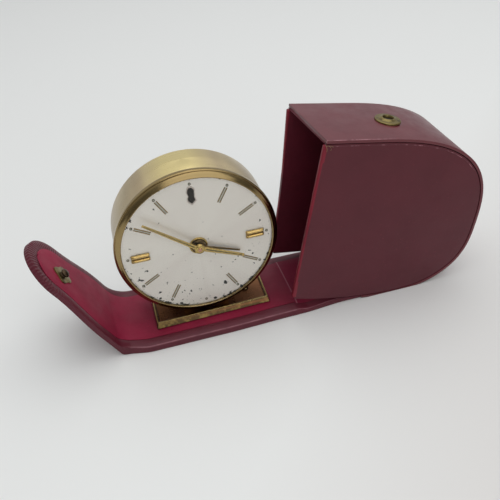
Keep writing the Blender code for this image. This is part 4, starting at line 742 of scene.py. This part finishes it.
def strip_face(name, share):
    """One face of the leather strip, from the base's right edge to the flap's tip."""

    def surface(s, side):
        """A point of the face; the rows lie closer at the sides, where the turned edge swells a little."""
        side = math.sin(side * math.pi / 2)
        half = max(flap_half(s), 0.4)
        edge = min(min((1 - abs(side)) * half, (FLAP_LENGTH - s) * 0.8) / BORDER, 1.0)
        swell = 0.28 * math.sin(math.pi * edge) * ease((half - 2.0) / 6.0)
        if side < 0:
            swell -= FRONT_DROOP * (1 - edge) ** 2 * ease(-s / 10.0)
        spot = flap_line(s, share, swell * share, side)
        return (spot.x, sideways(side, half, spot.x), spot.y)

    stations = stations_to(0.0, FLAP_SHOULDER, 38, FLAP_LENGTH, 24) + [FLAP_LENGTH - TINY]
    return sheet(name, stations, 36, surface)


def mark_places(piece):
    """Note on every point its place up the flap and across it, and how far behind the front edge it lies."""
    data = piece.data.attributes.new("flap_place", "FLOAT_VECTOR", "POINT").data
    for vertex, note in zip(piece.data.vertices, data):
        spot = Vector((vertex.co.x / MM - FLAP_AXIS[0], vertex.co.z / MM - FLAP_AXIS[1]))
        behind = vertex.co.y + (STRIP_HALF + bulge(vertex.co.x / MM)) * MM
        note.vector = (spot.dot(ALONG_FLAP) * MM, vertex.co.y, behind)


def strip_bend(piece):
    """Put a piece's place into its mesh."""
    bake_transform(piece)


def strip_leather():
    """The leather of the base and the flap in one piece."""
    piece = joined(strip_face("strip_leather", 0.0), strip_face("strip_inner_face", 1.0))
    edit(piece, "DESELECT")
    bpy.ops.mesh.select_non_manifold()
    bpy.ops.mesh.bridge_edge_loops()
    merged(close(piece))
    rounded(piece, 0.75, 4, 50)
    mark_places(piece)
    dress(smooth(piece, 50), strip_paint, None, ["base_panel", "flap_panel"])
    strip_bend(piece)


def strip_lining():
    """The lining on the base and the flap in one sheet, which stops short of the turned edges."""
    shoulder, reach, flap_border = 36.0, 45.8, 3.3

    def surface(s, side):
        """The lining's face."""
        border = BORDER + (flap_border - BORDER) * ease((s + 1.0) / 10.0)
        half = flap_half(min(s, FLAP_SHOULDER)) - border
        if s > shoulder:
            half *= math.sqrt(max(1 - ((s - shoulder) / (reach - shoulder)) ** 2, 0.0))
        spot = flap_line(s, 1.0, padding(side), side)
        return (spot.x, sideways(side, max(half, 0.3), spot.x, 1.15), spot.y)

    piece = sheet("strip_lining", stations_to(0.3, shoulder, 36, reach, 20) + [reach], 20, surface)
    merged(thick(piece, 0.25))
    dress(smooth(piece, 60), crimson, None, ["base_lining", "flap_lining"])
    strip_bend(piece)


def strap_bend(piece):
    """Put a piece's place into its mesh."""
    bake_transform(piece)


def strap():
    """The strap from the base's right edge to where it joins the hood's underside, and its lining."""

    front_fall, full_fall, end_fall = 0.9, 1.9, 1.05

    def top(x, side):
        """The strap's height: its front falls, its back stays up, and it thins out under the hood."""
        fall = front_fall * (1 - side) / 2
        height = BASE_TOP - fall * ease((x - 33.5) / 5.5) - (full_fall - fall) * ease((x - 45.0) / 15.0)
        return height - end_fall * ease((x - 58.0) / 12.0)

    def surface(x, side):
        """The strap's top, whose front edge droops near the base."""
        droop = 0.6 * max(-side - 0.75, 0.0) / 0.25 * (1 - ease((x - 36.0) / 18.0))
        return (x, sideways(side, STRIP_HALF, x), top(x, side) - droop)

    piece = sheet("strap_leather", spread(33.6, 40.0, 33) + spread(40.6, 70.0, 40), 24, surface)
    raise_from(piece, 0.0)
    rounded(piece, 0.45, 3, 50)
    mark_places(piece)
    dress(smooth(piece, 50), strip_paint, None, ["link_strap"])
    strap_bend(piece)

    def lining(x, side):
        """The lining's top."""
        return (x, sideways(side, STRIP_HALF - 3.5, x), top(x, side) + padding(side))

    piece = sheet("strap_lining_sheet", spread(33.75, 60.0, 60), 16, lining)
    thick(piece, 0.3)
    # The strap's lining takes the darker crimson, a painted shade from the hood
    dress(smooth(piece, 60), hood_shaded_crimson, None, ())
    strap_bend(piece)


# Hood


def hood_edge(offset, start=0.0, upper_mouth=0.0):
    """The hood's outline from its lower side round to the upper mouth corner, moved out by some mm.

    On the lower side it can start some way in from the mouth. The round end's nose lies below the middle.
    """
    points = [Vector((u, -HOOD_HALF - HOOD_FOOT_DROP)) for u in spread(0.0, 12.0, 9)]
    for turn in spread(-math.pi / 2, math.pi / 2, HOOD_STEPS + 1):
        inwards = abs(math.cos(turn)) ** (2 / HOOD_POWER)
        up = math.copysign(abs(math.sin(turn)) ** (2 / HOOD_POWER), turn)
        reach = HOOD_HALF - HOOD_NOSE if up > 0 else HOOD_HALF + HOOD_FOOT_DROP + HOOD_NOSE
        points.append(Vector((HOOD_STRAIGHT + HOOD_ROUND * inwards, HOOD_NOSE + reach * up)))
    points += [Vector((HOOD_STRAIGHT / 2, HOOD_HALF)), Vector((upper_mouth, HOOD_HALF))]
    points = [point for point in points if point.x >= start or point.y > 0]
    moved = []
    for n, point in enumerate(points):
        along = (points[min(n + 1, len(points) - 1)] - points[max(n - 1, 0)]).normalized()
        moved.append(point + Vector((along.y, -along.x)) * offset)
    return moved


def splayed(piece):
    """Let the hood's sides lean out towards the foot.

    The front one also sags a little in the middle, and leans forwards and lifts at the mouth.
    """
    out, most_sag, most_lean, most_lift = 0.85, 0.6, 1.7, 1.1
    for vertex in piece.data.vertices:
        u, v, side = vertex.co / MM
        low = min(max((22.0 - v) / 55.0, 0.0), 1.0) ** 1.3
        front = min(max((side + 8.0) / 24.0, 0.0), 1.0)
        sag = most_sag * low * front * ease(u / 22.0) * ease((66.0 - u) / 18.0)
        lean = most_lean * low ** 1.7 * front * max(1 - u / 30.0, 0.0)
        lift = most_lift * low * front * max(1 - u / 14.0, 0.0) ** 2
        vertex.co = Vector((u - lean, v - sag + lift, side + side / BAND_HALF * out * low)) * MM
    return piece


def dress_hood(piece, paint, nodes):
    """Splay a piece of the hood, put it in its place and dress it."""
    dress(smooth(to_hood(splayed(piece)), 50), paint, "hood", nodes)


def hood_boards():
    """The hood's two side boards, each with its lining and the crimson turned edge at the mouth."""
    for name, inwards, middle, mouth in (
        ("front", -1, BOARD_MIDDLE, MOUTH_SKEW_FRONT),
        ("back", 1, BACK_SHIFT - BOARD_MIDDLE, MOUTH_SKEW_BACK),
    ):
        board = outlined("hood_%s_leather" % name, [hood_edge(-0.45, 0.0, mouth)], -0.8, 0.8)
        rounded(board, 0.5, 4, 50)
        place(board, (0, 0, middle))
        dress_hood(board, burgundy, ["hood_%s_panel" % name])
        low = middle + inwards * 0.95 - 0.12
        lining = outlined("hood_%s_lining" % name, [hood_edge(-1.5, 0.0, mouth)], low, low + 0.24)
        dress_hood(lining, hood_lining_paint, ())
        low, high = (-0.85, -32.6, middle - 0.88), (0.75, 32.3, middle + 0.84)
        edge = block("hood_%s_mouth_edge" % name, low, high)
        edit(edge)
        bpy.ops.mesh.bisect(plane_co=(0, 0, middle * MM), plane_no=(0, 1, 0))
        rounded(close(edge), 0.4, 4)
        nudge(edge, lambda spot: spot.y > 0, (mouth, 0, 0))
        dress_hood(edge, edge_crimson, ())


def hood_seam():
    """The fine worn seam on the front board, just under the band's edge."""
    upper, lower = ([spot for spot in hood_edge(far, 0.0, 1.6) if spot.y > 20.0] for far in (-0.98, -1.2))
    seam = rounded(outlined("hood_front_seam", [upper + lower[::-1]], 16.55, 16.72), 0.06, 2, 50)
    dress_hood(seam, seam_leather, ())


def loose_threads():
    """Three worn ends of thread at the front board's upper mouth corner."""
    ends = [
        [(0.5, 32.7, 16.7), (0.8, 31.9, 16.95), (1.5, 31.3, 16.9), (1.2, 30.3, 16.85)],
        [(1.5, 32.5, 16.75), (2.3, 32.2, 17.0), (3.0, 31.3, 16.9), (2.6, 30.7, 16.8)],
        [(0.7, 32.2, 16.75), (1.8, 32.7, 17.0), (2.9, 32.4, 16.9), (3.4, 31.9, 16.8)],
    ]
    for n, points in enumerate(ends):
        curve = bpy.data.curves.new("thread", "CURVE")
        curve.dimensions = "3D"
        curve.bevel_depth = 0.08 * MM
        curve.use_fill_caps = True
        spline = curve.splines.new("NURBS")
        spline.points.add(len(points) - 1)
        for point, spot in zip(spline.points, points):
            point.co = (*(Vector(spot) * MM), 1)
        spline.use_endpoint_u = True
        strand = merged(meshed("loose_thread_%d" % n, curve))
        dress(smooth(to_hood(strand), 50), thread, "hood", ())


def hood_band():
    """The leather band between the boards and the lining inside it, both open below near the mouth.

    No point goes below the table's level.
    """
    for name, start, inner, outer, half, corner, paint, nodes, slot in (
        ("hood_band_leather", 25.0, -0.1, 0.95, BAND_HALF, 0.42, band_leather,
         ["hood_band", "hood_band_mouth"], "burgundy_leather"),
        ("hood_band_lining", 24.0, -0.9, -0.15, BAND_HALF - 2.0, 0.15, hood_lining_paint,
         ["hood_inner_band", "hood_inner_band_mouth"], "crimson_lining"),
    ):
        loop = hood_edge(outer, start) + hood_edge(inner, start)[::-1]
        piece = rounded(outlined(name, [loop], BACK_SHIFT - half, half), corner, 4, 50)
        for side, skew in ((1, MOUTH_SKEW_FRONT), (-1, MOUTH_SKEW_BACK)):
            nudge(piece, lambda spot: spot.x < 5 and spot.y > 0 and spot.z * side > 0, (skew, 0, 0))
        to_hood(splayed(piece))
        for vertex in piece.data.vertices:
            vertex.co.z = max(vertex.co.z, 0.0)
        dress(smooth(piece, 50), paint, "hood", nodes)


# Clock


def set_in_clock(piece, paint, replaced=(), turn=0.0, body="case_base"):
    """Stand a piece in the clock and dress it."""
    dress(to_clock(piece, turn), paint, body, replaced)


def drum():
    """The turned drum, open in front and with a short flange behind."""
    front = [(28.9, 4.9)] + arc((29.3, 4.5), 0.4, 0.4, 90, 0, 5)
    back = arc((28.6, -9.7), 1.1, 1.2, 0, -90, 8) + [(28.2, -10.9), (28.2, -10.2), (28.9, -10.2)]
    piece = turned("drum_shell", front + back, 192, closed=True)
    set_in_clock(piece, case_brass, ["drum_case"])


def bezel():
    """The polished bezel: a plain side, a fine groove, and a face that rises inwards to a thin lip."""
    side = [(29.6, 5.3)] + arc((29.95, 5.75), 0.42, 0.4, -90, 0, 5) + arc((29.95, 7.1), 0.42, 0.35, 0, 90, 5)
    face = [(29.5, 7.5), (29.5, 7.7), (30.0, 7.85), (30.1, 8.0), (29.95, 8.2), (29.3, 8.55), (28.6, 8.93)]
    lip = arc((28.25, 8.7), 0.3, 0.42, 70, 180, 7)
    inside = [(27.95, 8.35), (28.25, 8.3), (28.25, 3.5), (28.6, 3.5), (28.6, 5.3)]
    piece = turned("bezel_ring", side + face + lip + inside, 192, closed=True)
    set_in_clock(piece, bezel_gold, ["bezel"])


def crystal():
    """The clear domed crystal, with a nearly flat top and a round shoulder."""
    outside, inside = [], []
    for turn in spread(0.0, math.pi / 2, 25):
        reach, up = math.sin(turn) ** (2 / 4.5), max(math.cos(turn), 0.0) ** (2 / 3.5)
        outside.append((27.6 * reach, 9.0 + 3.6 * up))
        inside.append((27.2 * reach, 8.6 + 3.7 * up))
    piece = turned("crystal_dome", outside + [(27.6, 8.45), (27.2, 8.45)] + inside[::-1], 160)
    set_in_clock(piece, crystal_paint, ["crystal"])


def bar(name, inner, outer, offset, width, foot, height, rows, ends):
    """A half-round bar along a radius, drawn upwards from the dial's middle."""

    def surface(r, side):
        """The bar's round top."""
        fall = math.sqrt(max(1 - side * side, 0.0))
        near = min((r - inner), (outer - r)) / ends
        fall *= math.sqrt(min(max(near, 0.0), 1.0))
        return (offset + side * width / 2, r, foot + 0.02 + height * fall)

    stations = spread(inner, inner + ends, 5) + spread(inner + ends, outer - ends, 6)[1:-1]
    stations += spread(outer - ends, outer, 5)
    return raise_from(sheet(name, stations, rows, surface), foot)


def bar_pair(name, inner, outer, offset, *sizes):
    """Two bars side by side, at equal offsets from the radius between them."""
    left = bar(name, inner, outer, -offset, *sizes)
    right = bar(name + "_half", inner, outer, offset, *sizes)
    return smooth(joined(left, right), 50)


# How far the dial's marks lie from its middle
DOT_CIRCLE = 25.9
BLOCK_INNER, BLOCK_OUTER = 17.9, 24.8
LINE_INNER, LINE_OUTER = 18.6, 25.0
GLUE_MIDDLE = 21.3


def dial_marks():
    """Thin double lines at the hours, dots outside them, two raised blocks, and the mark of a lost block."""
    for hour in range(12):
        turn = math.radians(30 * hour)
        loops = [circle(0.52, 20), circle(0.3, 20)]
        ring = place(outlined("hour_dot_ring_%d" % hour, loops, DIAL + 0.02, DIAL + 0.14), (0, DOT_CIRCLE, 0))
        set_in_clock(smooth(ring), dark_lume, turn=turn)
        rings = [(TINY, DIAL + 0.14), (0.2, DIAL + 0.1), (0.3, DIAL + 0.02), (TINY, DIAL + 0.02)]
        dot = place(turned("hour_dot_%d" % hour, rings, 20), (0, DOT_CIRCLE, 0))
        set_in_clock(dot, pale_lume, turn=turn)
        if hour in (3, 9):
            name = "hour_block_%d" % hour
            piece = bar_pair(name, BLOCK_INNER, BLOCK_OUTER, 0.85, 1.4, DIAL + 0.3, 0.85, 8, 0.5)
            set_in_clock(piece, marker_gold, ["hour_marker_%d" % hour], turn)
            low, high = (-1.5, BLOCK_INNER + 0.2, DIAL + 0.02), (1.5, BLOCK_OUTER - 0.2, DIAL + 0.5)
            core = smooth(block("hour_block_core_%d" % hour, low, high, 0.08, 1))
            set_in_clock(core, dark_lume, turn=turn)
        elif hour not in (0, 6):
            name = "hour_line_%d" % hour
            piece = bar_pair(name, LINE_INNER, LINE_OUTER, 0.45, 0.34, DIAL + 0.02, 0.16, 4, 0.15)
            set_in_clock(piece, line_gold, turn=turn)
            low, high = (-0.26, LINE_INNER + 0.1, DIAL + 0.015), (0.26, LINE_OUTER - 0.1, DIAL + 0.05)
            set_in_clock(block("hour_line_core_%d" % hour, low, high), pale_lume, turn=turn)
    for name, wide, tall, low, high, paint in (
        ("glue_halo_12", 1.7, 3.8, 0.005, 0.03, faded), ("glue_mark_12", 1.3, 3.1, 0.01, 0.16, residue),
    ):
        outline = []
        for turn in full_turn(60):
            lump = 1 - 0.22 * math.cos(4 * turn) * abs(math.cos(turn))
            lump += 0.07 * math.sin(9 * turn + 1) + 0.05 * math.sin(17 * turn)
            up = tall * math.sin(turn) * (1 + 0.04 * math.sin(7 * turn))
            outline.append((wide * lump * math.cos(turn), GLUE_MIDDLE + up))
        set_in_clock(smooth(outlined(name, [outline], DIAL + low, DIAL + high)), paint)


def arm(name, start, length, wide, narrow, low, high):
    """The slender arm of a hand, with lower sides and a slightly sunk groove along its middle."""

    def surface(r, side):
        """The arm's top."""
        half = (wide + (narrow - wide) * (r - start) / (length - start)) / 2
        sunk = 0.09 if abs(side) > 0.9 else 0.05 if abs(side) < 0.3 else 0.0
        return (side * half, r, high - sunk)

    return smooth(raise_from(sheet(name, spread(start, length, 12), 6, surface), low), 25)


def hands():
    """The three hands, their bosses and the copper pivot."""
    bore = 0.55
    for name, body, length, wide, narrow, boss, low, angle, paint in (
        ("alarm_hand", "alarm_work", 16.0, 1.0, 0.7, 2.7, 8.9, 110.6, hub_brass),
        ("hour_hand", "hour_work", 17.6, 2.0, 1.2, 1.9, 10.3, 114.3, hand_gold),
        ("minute_hand", "minute_work", 23.9, 1.6, 0.9, 1.85, 10.95, -51.1, hand_gold),
    ):
        turn = math.radians(angle)
        piece = arm(name + "_arm", boss * 0.7, length, wide, narrow, low, low + 0.28)
        rings = [(bore, low + 0.5), (boss * 0.55, low + 0.5), (boss * 0.9, low + 0.36), (boss, low + 0.2)]
        disc = turned(name + "_boss", rings + [(boss, low), (bore, low)], 48, closed=True)
        set_in_clock(joined(piece, disc), paint, [name], turn, body)
        near, far = (-0.24 * wide, boss + 0.6, low + 0.2), (0.24 * wide, length - 0.7, low + 0.27)
        set_in_clock(block(name + "_lume", near, far), dark_lume, (), turn, body)
    pivot = [(TINY, 11.85), (0.5, 11.82), (0.75, 11.65), (0.8, 11.4), (0.8, 11.0), (TINY, 11.0)]
    set_in_clock(turned("pivot_cap", pivot, 40), copper, ["hand_cap"], body="minute_work")
    rim = [(3.4, 8.25), (3.4, 8.65), (3.25, 8.85), (3.0, 8.85), (2.8, 8.6), (2.75, 8.25)]
    dish = [(2.8, 8.25), (2.8, 8.42), (1.9, 8.34), (1.3, 8.34), (1.3, 8.25)]
    for name, rings, paint in (("hub_rim", rim, hand_gold), ("hub_dish", dish, hub_brass)):
        set_in_clock(turned(name, rings, 64, closed=True), paint, body="alarm_work")


def cradle():
    """The low brass tray with sloping sides, and the saddle that holds the drum.

    The tray's top face is shifted and shrunk for the slopes, then inset twice: for the rim and for the floor.
    """
    low, high, floor, chamfer = 4.0, 6.0, 4.9, 0.25
    tray = block("cradle_tray", (-20.9, -11.7, low), (25.4, 10.1, high))
    nudge(tray, lambda spot: spot.x > 20 and spot.y < 0, (-0.7, 0.8, 0))
    edit(tray, "DESELECT")
    bpy.ops.mesh.select_mode(type="FACE")
    close(tray)
    for face in tray.data.polygons:
        face.select = face.normal.z > 0.9
    bpy.ops.object.mode_set(mode="EDIT")
    bpy.ops.transform.translate(value=(0, 0.7 * MM, 0))
    bpy.ops.transform.resize(value=(0.978, 0.92, 1), center_override=(2.25 * MM, -0.1 * MM, 0))
    for inset, step in ((0.7, -chamfer), (0.25, floor - high + chamfer)):
        bpy.ops.mesh.inset(thickness=inset * MM)
        bpy.ops.transform.translate(value=(0, 0, step * MM))
    bpy.ops.mesh.select_mode(type="VERT")
    rounded(close(tray), 0.3, 4, 25)
    saddle = block("cradle_saddle", (-9.0, -4.6, floor - 0.4), (9.0, 9.0, 8.9), 0.25, 2)
    seat = to_clock(turned("saddle_seat", [(30.05, -12.0), (30.05, 12.0)], 192))
    cut = saddle.modifiers.new("Seat", "BOOLEAN")
    cut.operation = "DIFFERENCE"
    cut.object = seat
    apply_all(saddle)
    bpy.data.objects.remove(seat)
    dress(smooth(joined(tray, saddle), 35), cradle_brass, "case_base", ["cradle"])


# Press stud


def socket():
    """The domed brass socket on the hood's upper side, with a raised lip round its dark hole."""
    lip = [(TINY, 0.2), (1.95, 0.2), (2.0, 1.2), (2.12, 1.35), (2.35, 1.38)]
    dome = [(2.65, 1.2), (3.1, 0.95), (3.6, 0.82), (4.1, 0.78)] + arc((4.45, 0.4), 0.45, 0.38, 80, 0, 6)
    # The hole's floor gets a near-black disc in the glue-residue paint: painted shade for the hole's depth
    hole = [(TINY, 0.26), (1.9, 0.26), (1.9, 0.1), (TINY, 0.1)]
    for name, rings, steps, paint, nodes in (
        ("snap_socket_dome", lip + dome + [(4.9, 0.0), (TINY, 0.0)], 64, snap_brass, ["snap_socket"]),
        ("snap_socket_hole_shade", hole, 32, residue, []),
    ):
        part = turned(name, [(radius, height + SOCKET_LEVEL) for radius, height in rings], steps)
        dress(tipped(place(part, (SOCKET_DEPTH, SOCKET_SIDE, 0.0))), paint, "hood", nodes)


def stud():
    """The lobed stud on the flap's lining, with its ball, and the cap on the outside."""
    lobes = []
    for turn in full_turn(96):
        far = 3.85 + 0.55 * math.cos(4 * turn)
        lobes.append((far * math.cos(turn), far * math.sin(turn)))
    flange = smooth(rounded(outlined("snap_stud_flange", [lobes], 1.3, 1.85), 0.2, 3))
    head = [(TINY, 3.9), (0.9, 3.8), (1.5, 3.45), (1.75, 2.9), (1.5, 2.35)]
    ball = turned("snap_stud_ball", head + [(1.15, 2.1), (1.3, 1.75), (1.9, 1.6), (TINY, 1.6)], 48)
    domed = [(TINY, -1.9)] + arc((0, -1.1), 4.6, 0.8, 275, 355, 10)
    cap = turned("snap_stud_outer_cap", domed + [(4.6, -1.0), (TINY, -1.0)], 64)
    for piece, paint, nodes in (
        (flange, snap_brass, ["snap_stud"]), (ball, ball_brass, []), (cap, snap_brass, ["snap_stud_cap"]),
    ):
        dress(to_flap(place(piece, STUD_PLACE)), paint, "flap", nodes)


def finish_frame_pieces():
    """Finishes for the frame's own pieces that stay as they are."""
    kinds = {
        "satin_brass": case_brass, "polished_brass": cradle_brass, "movement_brass": movement_brass,
        "steel": steel, "copper": copper, "gilt_hands": hand_gold, "aged_brass": snap_brass,
        "silvered_dial": dial_paint, "clear_crystal": crystal_paint,
        "burgundy_leather": burgundy, "crimson_lining": crimson,
    }
    slots = {row["node"]: row["material_slot"] for row in frame["record"]["subparts"]}
    for name, piece in frame["nodes"].items():
        paint = hub_brass if name.startswith("cradle") else kinds[slots[name]]
        for slot in piece.material_slots:
            slot.material = paint.material


# Camera, light and table

VIEWPOINT = (-0.02221, -0.19707, 0.174125)
YAW, PITCH, ROLL = 0.2148, 0.6431, -0.0913
PHOTO_PIXELS, FOCAL_PIXELS = 500, 641.66
SENSOR = 36.0


def camera():
    """The photograph's viewpoint, in metres and radians, and its focal length."""
    data = bpy.data.cameras.new("Camera")
    view = added("Camera", data)
    level = math.cos(PITCH)
    forward = Vector((math.sin(YAW) * level, math.cos(YAW) * level, -math.sin(PITCH)))
    right = forward.cross(Vector((0, 0, 1))).normalized()
    up = right.cross(forward)
    rolled_right = math.cos(ROLL) * right + math.sin(ROLL) * up
    rolled_up = -math.sin(ROLL) * right + math.cos(ROLL) * up
    turn = Matrix((rolled_right, rolled_up, -forward)).transposed()
    view.matrix_world = Matrix.Translation(VIEWPOINT) @ turn.to_4x4()
    data.sensor_width = SENSOR
    data.lens = FOCAL_PIXELS / PHOTO_PIXELS * SENSOR
    data.clip_start = 0.01
    bpy.context.scene.camera = view


def table():
    """The plain pale table, with a painted shade that darkens it a little towards the front right."""
    bpy.ops.mesh.primitive_plane_add(size=4.0, location=(0, 0, -0.0001))
    piece = named("table")
    paint = Paint("Pale table")
    pale = paint.mix(paint.noise(3.0), (0.80, 0.81, 0.80), (0.82, 0.83, 0.82))
    # Painted shade towards the front right
    right = paint.spread(paint.math("SUBTRACT", paint.axis("X"), paint.axis("Y")), 0.08, 0.24)
    paint.color(paint.mix(right, pale, (0.66, 0.63, 0.61)))
    paint.set(Roughness=0.6)
    piece.data.materials.append(paint.material)
    fix(piece)


def area_light(name, spot, size, power):
    """A soft square light that looks at the clock."""
    data = bpy.data.lights.new(name, "AREA")
    data.size = size
    data.energy = power
    light = added(name, data)
    light.location = spot
    light.rotation_euler = (Vector((0, 0, 0.03)) - Vector(spot)).to_track_quat("-Z", "Y").to_euler()


def studio():
    """Soft light from above and behind, a darker room low down, and two large soft lamps."""
    world = bpy.data.worlds.new("Studio")
    bpy.context.scene.world = world
    sky = Tree(world)
    looked = sky.node("TexCoord", {}).outputs["Generated"]
    bright = Vector((0.0, 0.55, 0.85)).normalized()
    facing = sky.node("VectorMath", {0: looked, 1: bright}, operation="DOT_PRODUCT").outputs["Value"]
    strength = sky.spread(facing, -0.4, 0.85, 0.13, 0.66, interpolation_type="SMOOTHSTEP")
    back = sky.nodes["Background"]
    sky.feed(back.inputs["Strength"], strength)
    sky.feed(back.inputs["Color"], sky.mix(strength, (0.95, 0.93, 0.90), (0.94, 0.97, 1.0)))
    area_light("Window", (0.15, 0.15, 0.8), 0.9, 2.7)
    area_light("Fill", (0.2, -0.8, 0.6), 1.0, 3.5)
    bpy.context.scene.view_settings.view_transform = "Standard"


finish_frame_pieces()
strip_leather()
strip_lining()
strap()
hood_boards()
hood_seam()
loose_threads()
hood_band()
drum()
bezel()
crystal()
dial_marks()
hands()
cradle()
socket()
stud()
table()
studio()
camera()
